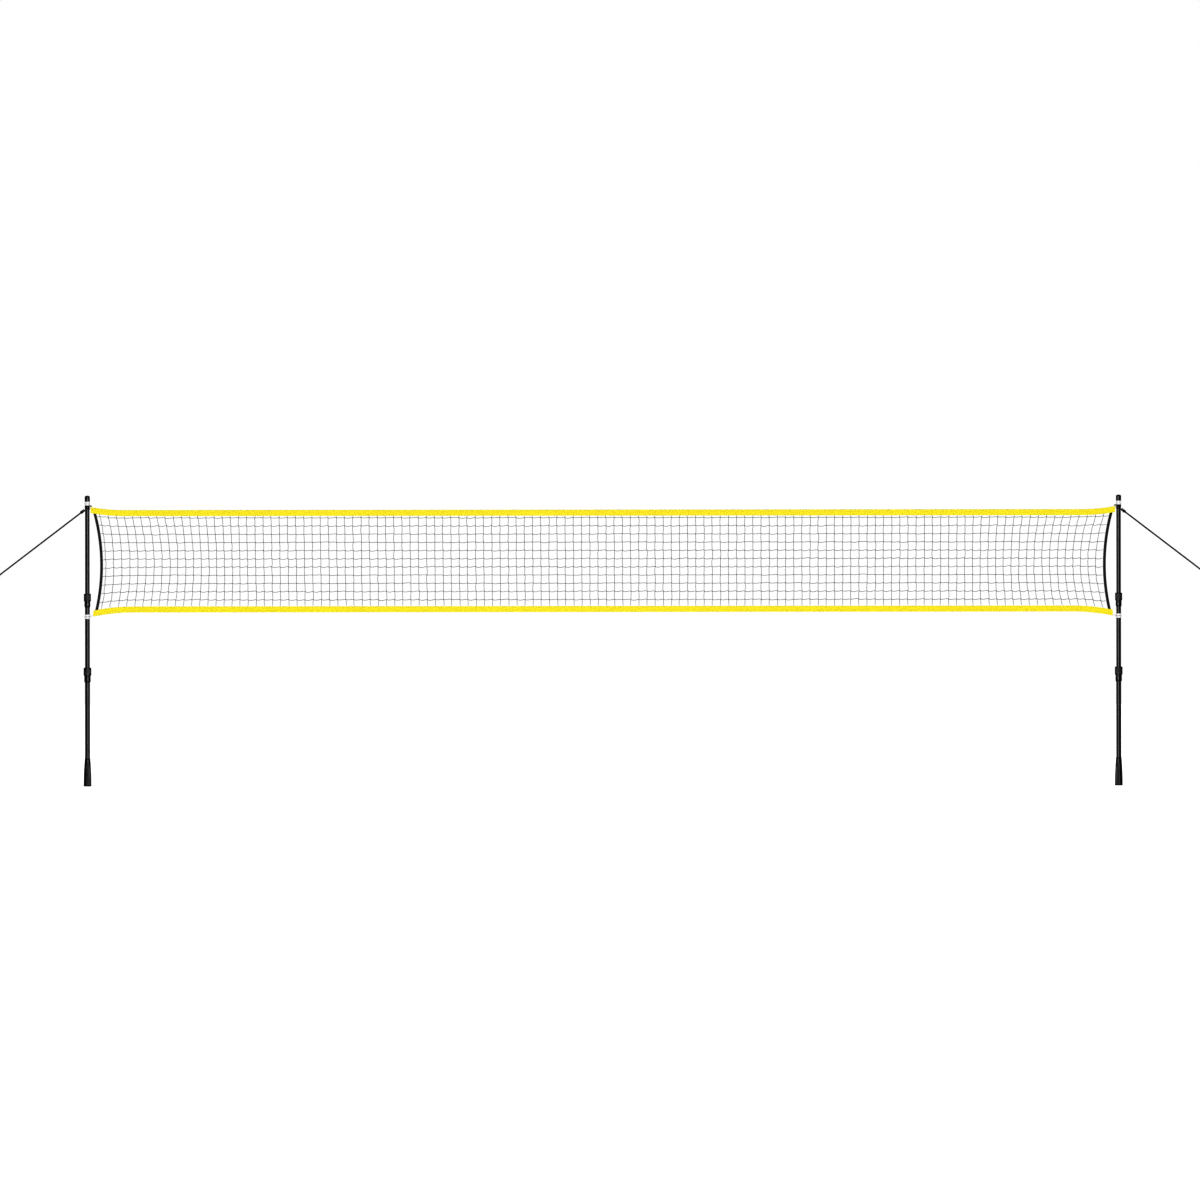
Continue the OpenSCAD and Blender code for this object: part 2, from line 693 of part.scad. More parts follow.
// Room to a tape, whose end curves while the netting's edge runs straight from gap to gap
function net_room(x, tape_x, l, rise) =
  net_clear + (abs(x) + net_pitch > tape_x - l ? rise * pow(net_pitch / l, 2) / 4 : 0);
function net_low(x) =
  mesh_bottom_z(x) + net_room(x, bottom_tape_x, bottom_drop_l, bottom_tape_drop);
function net_high(x) = mesh_top_z(x) - net_room(x, top_tape_x, top_rise_l, top_tape_rise);
function net_z(x, v) = net_low(x) + (net_high(x) - net_low(x)) * v;
function net_end_x(v) =
  let (t = (net_z(net_end_chord(v), v) - band_foot_z) / (band_top_z - band_foot_z))
    pole_x - band_gap(t) - band_w / 2 - net_end_clear;
function bow_fade(x) =
  1 - pow(max(0, min(1, (net_end_chord(0.5) - abs(x)) / bow_reach)), bow_hold);
// Where a point of the netting lies, u going from end to end
function net_point(u, v) =
  let (
    x0 = (2 * u - 1) * net_end_chord(v),
    x = x0 - sign(x0) * (net_end_chord(v) - net_end_x(v)) * bow_fade(x0)
  )
    [x, net_z(x, v)];

module net() {
  du = strand_d / (2 * net_end_x(0.5)) / 2;
  dv = strand_d / (net_h - 2 * tape_h) / 2;
  side_steps = 4 * net_rows;
  rim = concat(
    [for (i = [0:net_columns]) net_point(i / net_columns, 0)],
    [for (i = [1:side_steps]) net_point(1, i / side_steps)],
    [for (i = [net_columns - 1:-1:0]) net_point(i / net_columns, 1)],
    [for (i = [side_steps - 1:-1:1]) net_point(0, i / side_steps)]
  );
  color(satin_black)
    plate(strand_d)
      difference() {
        polygon(rim);
        for (i = [0:net_columns - 1], j = [0:net_rows - 1]) {
          u0 = i / net_columns + (i == 0 ? 2 : 1) * du;
          u1 = (i + 1) / net_columns - (i == net_columns - 1 ? 2 : 1) * du;
          v0 = j / net_rows + (j == 0 ? 2 : 1) * dv;
          v1 = (j + 1) / net_rows - (j == net_rows - 1 ? 2 : 1) * dv;
          polygon([net_point(u0, v0), net_point(u1, v0), net_point(u1, v1), net_point(u0, v1)]);
        }
      }
}

// The net's cords, each one tube from the turns on one pole to those on the other
module head_cord() {
  color(black) swept(head_route, head_route_d, cord_sides);
}

module foot_cord() {
  color(white) swept(foot_route, foot_cord_d, cord_sides);
}

// ---- the pieces that both poles have ----
module lower_tube() {
  tube(lower_tube_d, foot_floor, lower_clamp_z + tube_seat);
}

module lower_clamp_sleeve() {
  clamp_sleeve(lower_clamp_z, lower_tube_d, middle_tube_d, lower_sleeve_d, lower_sleeve_h, lower_nut_h);
}

module lower_collet() {
  collet(lower_clamp_z, middle_tube_d, lower_sleeve_h, lower_nut_h);
}

module lower_nut() {
  nut(lower_clamp_z, middle_tube_d, lower_nut_d, lower_sleeve_h, lower_nut_h);
}

module middle_tube() {
  tube(middle_tube_d, middle_tube_z + bush_flange_h, upper_clamp_z + tube_seat);
}

module middle_bush() {
  bush(middle_tube_d, middle_tube_z);
}

module upper_clamp_sleeve() {
  clamp_sleeve(upper_clamp_z, middle_tube_d, top_tube_d, upper_sleeve_d, upper_sleeve_h, upper_nut_h);
}

module upper_collet() {
  collet(upper_clamp_z, top_tube_d, upper_sleeve_h, upper_nut_h);
}

module upper_nut() {
  nut(upper_clamp_z, top_tube_d, upper_nut_d, upper_sleeve_h, upper_nut_h);
}

module top_tube() {
  tube(top_tube_d, top_tube_z + bush_flange_h, cap_z + cap_seat);
}

module top_bush() {
  bush(top_tube_d, top_tube_z);
}

at_pole("left") foot();  // left_foot
at_pole("left") lower_tube();  // left_lower_tube
at_pole("left") lower_clamp_sleeve();  // left_lower_clamp_sleeve
at_pole("left") lower_collet();  // left_lower_collet
at_pole("left") lower_nut();  // left_lower_nut
at_pole("left") middle_tube();  // left_middle_tube
at_pole("left") middle_bush();  // left_middle_bush
at_pole("left") upper_clamp_sleeve();  // left_upper_clamp_sleeve
at_pole("left") upper_collet();  // left_upper_collet
at_pole("left") upper_nut();  // left_upper_nut
at_pole("left") top_tube();  // left_top_tube
at_pole("left") top_bush();  // left_top_bush
at_pole("left") top_cap();  // left_top_cap
at_pole("left") upper_collar();  // left_upper_collar
at_pole("left") lower_collar();  // left_lower_collar
at_pole("left") guy_lashing();  // left_guy_lashing
at_pole("left") guy_eye();  // left_guy_eye
at_pole("left") guy_rope();  // left_guy_rope
at_pole("left") guy_end_eye();  // left_guy_end_eye
at_pole("left") guy_hook();  // left_guy_hook
mirror([1, 0, 0]) side_band();  // left_side_band
at_pole("right") foot();  // right_foot
at_pole("right") lower_tube();  // right_lower_tube
at_pole("right") lower_clamp_sleeve();  // right_lower_clamp_sleeve
at_pole("right") lower_collet();  // right_lower_collet
at_pole("right") lower_nut();  // right_lower_nut
at_pole("right") middle_tube();  // right_middle_tube
at_pole("right") middle_bush();  // right_middle_bush
at_pole("right") upper_clamp_sleeve();  // right_upper_clamp_sleeve
at_pole("right") upper_collet();  // right_upper_collet
at_pole("right") upper_nut();  // right_upper_nut
at_pole("right") top_tube();  // right_top_tube
at_pole("right") top_bush();  // right_top_bush
at_pole("right") top_cap();  // right_top_cap
at_pole("right") upper_collar();  // right_upper_collar
at_pole("right") lower_collar();  // right_lower_collar
at_pole("right") guy_lashing();  // right_guy_lashing
at_pole("right") guy_eye();  // right_guy_eye
at_pole("right") guy_rope();  // right_guy_rope
at_pole("right") guy_end_eye();  // right_guy_end_eye
at_pole("right") guy_hook();  // right_guy_hook
side_band();  // right_side_band
net();
top_tape();
bottom_tape();
head_cord();
foot_cord();
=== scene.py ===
import json
import math
import random

import bmesh
import bpy
from mathutils import Matrix, Vector


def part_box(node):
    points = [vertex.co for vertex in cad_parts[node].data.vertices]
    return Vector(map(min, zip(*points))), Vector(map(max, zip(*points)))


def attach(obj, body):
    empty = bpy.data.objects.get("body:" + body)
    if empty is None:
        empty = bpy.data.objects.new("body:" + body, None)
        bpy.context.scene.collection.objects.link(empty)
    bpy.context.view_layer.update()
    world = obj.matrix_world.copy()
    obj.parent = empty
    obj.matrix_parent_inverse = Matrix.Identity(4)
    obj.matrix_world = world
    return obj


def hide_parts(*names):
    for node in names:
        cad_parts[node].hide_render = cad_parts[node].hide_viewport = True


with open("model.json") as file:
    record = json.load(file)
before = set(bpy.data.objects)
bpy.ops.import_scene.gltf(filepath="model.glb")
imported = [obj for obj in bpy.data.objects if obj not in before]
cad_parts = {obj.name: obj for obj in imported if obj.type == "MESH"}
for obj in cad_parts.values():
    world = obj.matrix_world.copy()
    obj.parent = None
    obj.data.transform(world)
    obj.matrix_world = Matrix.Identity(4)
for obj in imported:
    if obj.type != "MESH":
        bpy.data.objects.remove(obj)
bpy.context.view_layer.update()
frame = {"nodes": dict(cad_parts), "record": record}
scene = bpy.context.scene
bodies = frame["record"]["behaviour"]["bodies"]
bodyOf = {node: body for body, nodes in bodies.items() for node in nodes}
random.seed(41)

# everything is in metres: X runs along the net, Y is the depth, Z is up
poleX = (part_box("right_lower_tube")[0].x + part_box("right_lower_tube")[1].x) / 2
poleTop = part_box("right_top_cap")[1].z
sides = {"left": -1, "right": 1}
clearance = {"seat": 0.0001, "slide": 0.0003}

# the view is square to the net, from far away
view = {"distance": 58, "width": 10.56, "aim": (-0.0265, 1.635), "roll": 0.06, "sensor": 36,
        "reach": 400, "gamma": 0.65}


def makeCamera():
    data = bpy.data.cameras.new("viewCamera")
    data.sensor_width = view["sensor"]
    data.lens = view["sensor"] * view["distance"] / view["width"]
    data.clip_end = view["reach"]
    camera = bpy.data.objects.new("viewCamera", data)
    camera.location = (view["aim"][0], -view["distance"], view["aim"][1])
    camera.rotation_euler = (math.radians(90), math.radians(view["roll"]), 0)
    scene.collection.objects.link(camera)
    scene.camera = camera
    scene.view_settings.view_transform = "Standard"  # paper white stays white
    scene.view_settings.gamma = view["gamma"]  # thin dark twine keeps its weight on white


makeCamera()
print("camera placed")


def addNode(tree, kind, inputs=None, **settings):
    # an input is another node's socket or a fixed value
    made = tree.nodes.new(kind)
    for name, value in settings.items():
        setattr(made, name, value)
    fillInputs(tree, made, inputs or {})
    return made


def fillInputs(tree, node, inputs):
    for name, value in inputs.items():
        if isinstance(value, bpy.types.NodeSocket):
            tree.links.new(value, node.inputs[name])
        else:
            node.inputs[name].default_value = value


def calc(tree, operation, a, b=0.0, clamp=False):
    made = addNode(tree, "ShaderNodeMath", {0: a, 1: b}, operation=operation, use_clamp=clamp)
    return made.outputs[0]


def times(tree, a, b, clamp=False):
    return calc(tree, "MULTIPLY", a, b, clamp)


def mixColour(tree, mask, first, second):
    made = addNode(tree, "ShaderNodeMix", {0: mask, 6: first, 7: second}, data_type="RGBA")
    return made.outputs[2]


def objectPlace(tree):
    return addNode(tree, "ShaderNodeTexCoord").outputs["Object"]


def noise(tree, place, scale, detail):
    inputs = {"Vector": place, "Scale": scale, "Detail": detail}
    return addNode(tree, "ShaderNodeTexNoise", inputs).outputs["Fac"]


def fade(tree, value, low, high, start=0.0, end=1.0):
    # the start below the low value, the end above the high one
    inputs = {"Value": value, "From Min": low, "From Max": high, "To Min": start, "To Max": end}
    return addNode(tree, "ShaderNodeMapRange", inputs).outputs[0]


def newGroup(name, inputs, outputs):
    tree = bpy.data.node_groups.new(name, "ShaderNodeTree")
    kinds = {"float": "NodeSocketFloat", "colour": "NodeSocketColor"}
    for direction, sockets in (("INPUT", inputs), ("OUTPUT", outputs)):
        for label, kind in sockets.items():
            tree.interface.new_socket(label, in_out=direction, socket_type=kinds[kind])
    return tree, tree.nodes.new("NodeGroupInput").outputs, tree.nodes.new("NodeGroupOutput")


def grainGroup():
    # mottle for the roughness, and a finer grain for the bump
    tree, given, result = newGroup(
        "grain", {"Scale": "float", "Rough From": "float", "Rough To": "float"},
        {"Height": "float", "Roughness": "float"})
    place = objectPlace(tree)
    mottle = noise(tree, place, 38.0, 4.0)
    fillInputs(tree, result, {
        "Height": noise(tree, place, given["Scale"], 3.0),
        "Roughness": fade(tree, mottle, 0.32, 0.68, given["Rough From"], given["Rough To"])})
    return tree


def dustGroup():
    # dust that thins out upwards from the ground
    tree, given, result = newGroup(
        "dust", {"Color": "colour", "Dust": "colour", "Reach": "float", "Amount": "float"},
        {"Color": "colour", "Mask": "float"})
    place = objectPlace(tree)
    height = addNode(tree, "ShaderNodeSeparateXYZ", {0: place}).outputs["Z"]
    low = calc(tree, "SUBTRACT", 1.0, calc(tree, "DIVIDE", height, given["Reach"]), clamp=True)
    speckled = times(tree, calc(tree, "POWER", low, 1.6), noise(tree, place, 90.0, 6.0))
    mask = times(tree, speckled, given["Amount"], clamp=True)
    dusty = mixColour(tree, mask, given["Color"], given["Dust"])
    fillInputs(tree, result, {"Color": dusty, "Mask": mask})
    return tree


def scuffGroup():
    # long thin rub marks that run up and down
    tree, given, result = newGroup(
        "scuffs", {"Color": "colour", "Scuff": "colour", "Amount": "float"},
        {"Color": "colour", "Mask": "float"})
    place = objectPlace(tree)
    drawn = addNode(tree, "ShaderNodeMapping", {"Vector": place, "Scale": (420.0, 420.0, 16.0)})
    marks = fade(tree, noise(tree, drawn.outputs[0], 1.0, 5.0), 0.60, 0.72)
    patches = fade(tree, noise(tree, place, 9.0, 2.0), 0.48, 0.66)
    mask = times(tree, times(tree, marks, patches), given["Amount"], clamp=True)
    scuffed = mixColour(tree, mask, given["Color"], given["Scuff"])
    fillInputs(tree, result, {"Color": scuffed, "Mask": mask})
    return tree


def halfWave(tree, value):
    return calc(tree, "SINE", times(tree, value, math.pi))


def overUnder(tree, first, second):
    # rounded strands in two directions, which take turns to lie on top
    firstSine, secondSine = halfWave(tree, first), halfWave(tree, second)
    turn = calc(tree, "GREATER_THAN", times(tree, firstSine, secondSine), 0.0)
    over = times(tree, calc(tree, "ABSOLUTE", firstSine), turn)
    under = times(tree, calc(tree, "ABSOLUTE", secondSine), calc(tree, "SUBTRACT", 1.0, turn))
    return calc(tree, "ADD", over, under)


def strandGroup(name, pattern, fuzzScale, fuzzDetail):
    # on UVs whose X is in metres along the piece and whose Y goes once round it
    tree, given, result = newGroup(name, {"Around": "float", "Pick": "float"},
                                   {"Height": "float", "Fuzz": "float"})
    spot = addNode(tree, "ShaderNodeUVMap", uv_map="UVMap").outputs[0]
    parts = addNode(tree, "ShaderNodeSeparateXYZ", {0: spot}).outputs
    along = calc(tree, "DIVIDE", parts["X"], given["Pick"])
    around = times(tree, parts["Y"], given["Around"])
    both = calc(tree, "ADD", along, around)
    if pattern == "twist":
        height = calc(tree, "ABSOLUTE", halfWave(tree, both))
    elif pattern == "braid":
        height = overUnder(tree, both, calc(tree, "SUBTRACT", along, around))
    else:
        height = overUnder(tree, along, around)
    fuzz = noise(tree, objectPlace(tree), fuzzScale, fuzzDetail)
    fillInputs(tree, result, {"Height": height, "Fuzz": fuzz})
    return tree


shared = {"grain": grainGroup(), "dust": dustGroup(), "scuffs": scuffGroup(),
          "twist": strandGroup("twist", "twist", 900.0, 3.0),
          "braid": strandGroup("braid", "braid", 1400.0, 4.0),
          "weave": strandGroup("weave", "weave", 1400.0, 4.0)}


def useGroup(tree, name, inputs):
    made = addNode(tree, "ShaderNodeGroup")
    made.node_tree = shared[name]
    fillInputs(tree, made, inputs)
    return made.outputs


def useGrain(tree, scale, smoothest, roughest):
    return useGroup(tree, "grain", {"Scale": scale, "Rough From": smoothest, "Rough To": roughest})


finish = {}


def newMaterial(name, **constants):
    finish[name] = bpy.data.materials.new(name)
    finish[name].use_nodes = True
    tree = finish[name].node_tree
    shader = tree.nodes["Principled BSDF"]
    for label, value in constants.items():
        shader.inputs[label.replace("_", " ")].default_value = value
    return tree, shader


def bump(tree, shader, height, strength, distance):
    inputs = {"Height": height, "Strength": strength, "Distance": distance}
    made = addNode(tree, "ShaderNodeBump", inputs)
    tree.links.new(made.outputs[0], shader.inputs["Normal"])


def rgb(r, g, b):
    return (r, g, b, 1.0)


def wornFinish(name, grain, colour, rubbed, amount, relief, dust=None, **constants):
    # a grained skin with rub marks, and with dust near the ground where that is given
    tree, shader = newMaterial(name, **constants)
    skin = useGrain(tree, *grain)
    wearAndShade = useGroup(tree, "scuffs", {"Color": colour, "Scuff": rubbed, "Amount": amount})["Color"]
    if dust:
        wearAndShade = useGroup(tree, "dust", {"Color": wearAndShade, **dust})["Color"]
    fillInputs(tree, shader, {"Base Color": wearAndShade, "Roughness": skin["Roughness"]})
    bump(tree, shader, skin["Height"], *relief)


def bootRubber(name, shade, dustAmount):
    tree, shader = newMaterial(name, Specular_IOR_Level=0.26)
    grain = useGrain(tree, 1200.0, 0.26, 0.40)
    dusty = useGroup(tree, "dust", {
        "Color": rgb(shade, shade, shade * 1.04), "Dust": rgb(0.2, 0.17, 0.13), "Reach": 0.16,
        "Amount": dustAmount})
    rough = calc(tree, "ADD", grain["Roughness"], times(tree, dusty["Mask"], 0.3), clamp=True)
    fillInputs(tree, shader, {"Base Color": dusty["Color"], "Roughness": rough})
    bump(tree, shader, grain["Height"], 0.25, 0.0005)


def tapeVinyl():
    # coated cloth: the yellow coat has faded in clouds, and the hollows of the weave get a little
    # painted shade
    tree, shader = newMaterial("tapeVinyl", Specular_IOR_Level=0.15)
    weave = useGroup(tree, "weave", {"Around": 142.0, "Pick": 0.0011})
    grain = useGrain(tree, 160.0, 0.58, 0.70)
    faded = fade(tree, noise(tree, objectPlace(tree), 4.0, 3.0), 0.35, 0.65)
    coat = mixColour(tree, faded, rgb(0.787, 0.698, 0.027), rgb(0.808, 0.724, 0.031))
    # painted shade: the hollows between the weave's strands are mixed towards a darker ochre
    shade = times(tree, calc(tree, "SUBTRACT", 1.0, weave["Height"]), 0.10)
    fillInputs(tree, shader, {"Base Color": mixColour(tree, shade, coat, rgb(0.62, 0.50, 0.012)),
                              "Roughness": grain["Roughness"]})
    bump(tree, shader, weave["Height"], 0.25, 0.0003)


def sewingThread(name, colour, dark):
    tree, shader = newMaterial(name, Sheen_Weight=0.3)
    grain = useGrain(tree, 2600.0, 0.5, 0.7)
    fillInputs(tree, shader, {"Base Color": mixColour(tree, grain["Height"], colour, dark),
                              "Roughness": grain["Roughness"]})
    bump(tree, shader, grain["Height"], 0.4, 0.0003)


def netTwine():
    # twisted black twine, a little paler on its fuzz
    tree, shader = newMaterial("netTwine", Specular_IOR_Level=0.3)
    twist = useGroup(tree, "twist", {"Around": 3.0, "Pick": 0.006})
    colour = mixColour(tree, twist["Fuzz"], rgb(0.006, 0.006, 0.0064), rgb(0.018, 0.018, 0.019))
    rough = calc(tree, "ADD", 0.55, times(tree, twist["Fuzz"], 0.3))
    fillInputs(tree, shader, {"Base Color": colour, "Roughness": rough})
    bump(tree, shader, twist["Height"], 0.7, 0.0006)


def cordCloth(name, group, around, pick, dark, pale, depth):
    # painted shade: dark in the hollows between the strands, and pale on their backs
    tree, shader = newMaterial(name, Specular_IOR_Level=0.25)
    cloth = useGroup(tree, group, {"Around": around, "Pick": pick})
    # the strength of this painted shade varies with the fuzz
    wearAndShade = calc(tree, "ADD", 0.55, times(tree, cloth["Fuzz"], 0.6))
    colour = mixColour(tree, times(tree, cloth["Height"], wearAndShade, clamp=True), dark, pale)
    rough = calc(tree, "SUBTRACT", 0.78, times(tree, cloth["Height"], 0.25))
    fillInputs(tree, shader, {"Base Color": colour, "Roughness": rough})
    bump(tree, shader, cloth["Height"], 0.8, depth)


deepBlack = rgb(0.004, 0.004, 0.004)

# satin powder coat with an orange-peel grain, a little dusty low down
wornFinish("tubePaint", grain=(900.0, 0.38, 0.46), colour=rgb(0.007, 0.007, 0.0074),
           rubbed=rgb(0.03, 0.03, 0.031), amount=0.12, relief=(0.02, 0.0002), IOR=1.5,
           dust={"Dust": rgb(0.16, 0.14, 0.11), "Reach": 0.45, "Amount": 0.03})
# glass-filled nylon with a spark-eroded skin
wornFinish("clampPlastic", grain=(2400.0, 0.27, 0.39), colour=rgb(0.006, 0.006, 0.0064),
           rubbed=rgb(0.035, 0.035, 0.036), amount=0.15, relief=(0.10, 0.0004), IOR=1.5,
           Specular_IOR_Level=0.38)
wornFinish("colletPlastic", grain=(1500.0, 0.3, 0.4), colour=rgb(0.02, 0.02, 0.021),
           rubbed=rgb(0.1, 0.1, 0.1), amount=0.5, relief=(0.1, 0.0003), IOR=1.5)
wornFinish("capPlastic", grain=(1800.0, 0.34, 0.46), colour=rgb(0.0065, 0.0065, 0.007),
           rubbed=rgb(0.035, 0.035, 0.035), amount=0.15, relief=(0.22, 0.0004), IOR=1.5)
wornFinish("collarPlastic", grain=(700.0, 0.3, 0.42), colour=rgb(0.69, 0.68, 0.70),
           rubbed=rgb(0.45, 0.44, 0.44), amount=0.35, relief=(0.08, 0.0003), IOR=1.5)
# bright zinc plate, clouded, with rub marks where it bears
wornFinish("hookSteel", grain=(500.0, 0.2, 0.38), colour=rgb(0.58, 0.59, 0.6),
           rubbed=rgb(0.3, 0.3, 0.3), amount=0.6, relief=(0.15, 0.0003), Metallic=0.6)
bootRubber("footRubber", shade=0.0055, dustAmount=0.07)
bootRubber("bushRubber", shade=0.008, dustAmount=0.05)
tapeVinyl()
sewingThread("yellowThread", rgb(0.74, 0.63, 0.03), rgb(0.58, 0.45, 0.012))
sewingThread("blackThread", rgb(0.02, 0.02, 0.02), rgb(0.005, 0.005, 0.005))
netTwine()
cordCloth("blackWebbing", "weave", around=26.0, pick=0.0018, dark=deepBlack,
          pale=rgb(0.013, 0.013, 0.0135), depth=0.0006)
cordCloth("blackCord", "braid", around=6.0, pick=0.0026, dark=deepBlack,
          pale=rgb(0.014, 0.014, 0.0145), depth=0.0005)
cordCloth("whiteCord", "braid", around=6.0, pick=0.0028,
          dark=rgb(0.4, 0.39, 0.38), pale=rgb(0.82, 0.81, 0.8), depth=0.0005)
cordCloth("guyBraid", "braid", around=24.0, pick=0.0021, dark=deepBlack,
          pale=rgb(0.015, 0.015, 0.0155), depth=0.0004)
print("materials made:", len(finish))


def outerR(node):
    # outer radius of a round solid
    low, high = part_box(node)
    return (high.x - low.x) / 2


def finishPiece(bm, name, material, replaces=(), body=None, crease=38):
    mesh = bpy.data.meshes.new(name)
    bm.to_mesh(mesh)
    bm.free()
    mesh.polygons.foreach_set("use_smooth", [True] * len(mesh.polygons))
    mesh.set_sharp_from_angle(angle=math.radians(crease))
    piece = bpy.data.objects.new(name, mesh)
    scene.collection.objects.link(piece)
    mesh.materials.append(finish[material])
    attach(piece, body or bodyOf[replaces[0]])
    if replaces:
        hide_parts(*replaces)
    return piece


def turned(profile, steps):
    # a closed outline of radius and height, spun round the Z axis
    bm = bmesh.new()
    verts = [bm.verts.new((r, 0, z)) for r, z in profile]
    edges = [bm.edges.new((verts[i], verts[(i + 1) % len(verts)])) for i in range(len(verts))
             if profile[i][0] > 1e-6 or profile[(i + 1) % len(verts)][0] > 1e-6]
    bmesh.ops.spin(bm, geom=verts + edges, cent=(0, 0, 0), axis=(0, 0, 1), angle=math.tau,
                   steps=steps, use_merge=True, use_duplicate=False)
    bmesh.ops.remove_doubles(bm, verts=bm.verts, dist=1e-6)
    bmesh.ops.recalc_face_normals(bm, faces=bm.faces)
    return bm


def arc(r, z, radius, start, end, steps=4):
    angles = [math.radians(start + (end - start) * i / steps) for i in range(steps + 1)]
    return [(r + radius * math.cos(a), z + radius * math.sin(a)) for a in angles]


def drawIn(bm, depthAt):
    # presses a turned piece towards its axis by a depth that depends on angle and height
    for v in bm.verts:
        r = math.hypot(v.co.x, v.co.y)
        if r > 1e-6:
            depth = depthAt(math.atan2(v.co.y, v.co.x), r, v.co.z)
            v.co.x *= (r - depth) / r
            v.co.y *= (r - depth) / r


def toPole(bm, side):
    # moves a piece that was made round the Z axis to its pole, +X outward
    if sides[side] < 0:
        bm.transform(Matrix.Scale(-1, 4, (1, 0, 0)))
        bmesh.ops.reverse_faces(bm, faces=bm.faces)
    bm.transform(Matrix.Translation((sides[side] * poleX, 0, 0)))
    return bm


def polePiece(bm, side, name, material, node, crease=38):
    return finishPiece(toPole(bm, side), f"{side}_{name}", material, [f"{side}_{node}"],
                       crease=crease)


def joinInto(target, source):
    loose = bpy.data.meshes.new("loose")
    source.to_mesh(loose)
    source.free()
    target.from_mesh(loose)
    bpy.data.meshes.remove(loose)


def runLengths(path):
    lengths = [0.0]
    for a, b in zip(path, path[1:]):
        lengths.append(lengths[-1] + (b - a).length)
    return lengths


def framesAlong(path, upright):
    # side and up vectors carried along a path without twist
    frames = []
    side = None
    for i in range(len(path)):
        ahead = (path[min(i + 1, len(path) - 1)] - path[max(i - 1, 0)]).normalized()
        side = ahead.cross(upright) if side is None else side
        side = (side - ahead * side.dot(ahead)).normalized()
        frames.append((side, side.cross(ahead)))
    return frames


def sweep(path, outlineAt, around, frames=None, upright=Vector((0, 0, 1))):
    # a grid wrapped round a path; UVs go in metres along it and from 0 to 1 round it
    bm = bmesh.new()
    uv = bm.loops.layers.uv.new("UVMap")
    last = len(path) - 1
    bmesh.ops.create_grid(bm, x_segments=last, y_segments=around, size=0.5, calc_uvs=True)
    lengths = runLengths(path)
    for face in bm.faces:
        for loop in face.loops:
            loop[uv].uv.x = lengths[round(loop[uv].uv.x * last)]
    frames = frames or framesAlong(path, upright)
    for v in bm.verts:
        i = round((v.co.x + 0.5) * last)
        a, b = outlineAt(i, round((v.co.y + 0.5) * around) % around)
        v.co = path[i] + frames[i][0] * a + frames[i][1] * b
    bmesh.ops.remove_doubles(bm, verts=bm.verts, dist=1e-7)
    bmesh.ops.holes_fill(bm, edges=[e for e in bm.edges if e.is_boundary], sides=0)
    bmesh.ops.recalc_face_normals(bm, faces=bm.faces)
    return bm


def rounded(radius, around):
    # outline of a round cord; the radius is one number or a function of the point's index
    def outlineAt(i, k):
        r = radius(i) if callable(radius) else radius
        return r * math.cos(math.tau * k / around), r * math.sin(math.tau * k / around)
    return outlineAt


def curveThrough(points, step):
    # Catmull-Rom points through the given ones, about a step apart
    path = []
    ends = [2 * points[0] - points[1]] + points + [2 * points[-1] - points[-2]]
    for i in range(1, len(ends) - 2):
        p0, p1, p2, p3 = ends[i - 1:i + 3]
        count = max(1, round((p2 - p1).length / step))
        for j in range(count):
            t = j / count
            path.append(0.5 * (2 * p1 + (p2 - p0) * t + (2 * p0 - 5 * p1 + 4 * p2 - p3) * t * t
                               + (3 * p1 - p0 - 3 * p2 + p3) * t ** 3))
    return path + [points[-1]]


def stitchRow(bm, spots, size, batch=40):
    # one small block for each stitch; a spot is its middle, its direction and its outward face
    for start in range(0, len(spots), batch):
        few = bmesh.new()
        for middle, ahead, outward in spots[start:start + batch]:
            across = outward.cross(ahead)
            axes = Matrix((ahead * size[0], across * size[1], outward * size[2])).transposed()
            bmesh.ops.create_cube(few, size=1.0, matrix=Matrix.Translation(middle) @ axes.to_4x4())
        joinInto(bm, few)


guyRope = {
    # how far out from the pole and how far below its top each point lies
    "points": [(0.060, 0.154), (0.210, 0.2685), (0.360, 0.383), (0.510, 0.4975), (0.660, 0.612),
               (0.810, 0.727)],
    "diameter": 0.013, "tube": 0.0059, "strandRise": 0.0006, "carriers": 8, "pick": 0.0075,
    "ring": 0.0016, "around": 32,
}
ropeEye = {
    "rope": 0.0095, "poleRadius": 0.0072, "hookRadius": 0.011, "lean": 30, "legReach": 0.010,
    "legPinch": 0.55, "knotLength": 0.029, "knotDiameter": 0.026, "knotTurns": 3, "tuckTurns": 0.15,
    "tuckIn": 0.45, "wound": 0.98, "coreRadii": (0.0045, 0.0062, 0.0062, 0.005), "coreOver": 0.002,
    "coreInset": 0.004, "coreAround": 20, "around": 14, "steps": 40, "spacing": 0.0022,
    "stepsPerTurn": 20,
}
guyHook = {
    "rod": 0.006, "ringRadius": 0.013, "bendRadius": 0.012, "length": 0.060, "ringSweep": 325,
    "bendSweep": 215, "nose": 0.55, "around": 16, "ringSteps": 48, "shankSteps": 6, "bendSteps": 32,
}
guyStart = Vector((guyRope["points"][0][0], 0, poleTop - guyRope["points"][0][1]))
guyEnd = Vector((guyRope["points"][-1][0], 0, poleTop - guyRope["points"][-1][1]))
guyFall = math.atan2(guyStart.z - guyEnd.z, guyEnd.x - guyStart.x)


def guyPlace(at, turnedBy=0.0):
    # +X runs down along the rope
    return Matrix.Translation(at) @ Matrix.Rotation(guyFall + turnedBy, 4, "Y")


def throatOf(radius):
    # half the throat, and how far the eye's middle lies from it
    lean = math.radians(ropeEye["lean"])
    half = ropeEye["rope"] / 2 + clearance["seat"]
    leg = (radius * math.cos(lean) - half) / math.sin(lean)
    return half, radius * math.sin(lean) + leg * math.cos(lean)


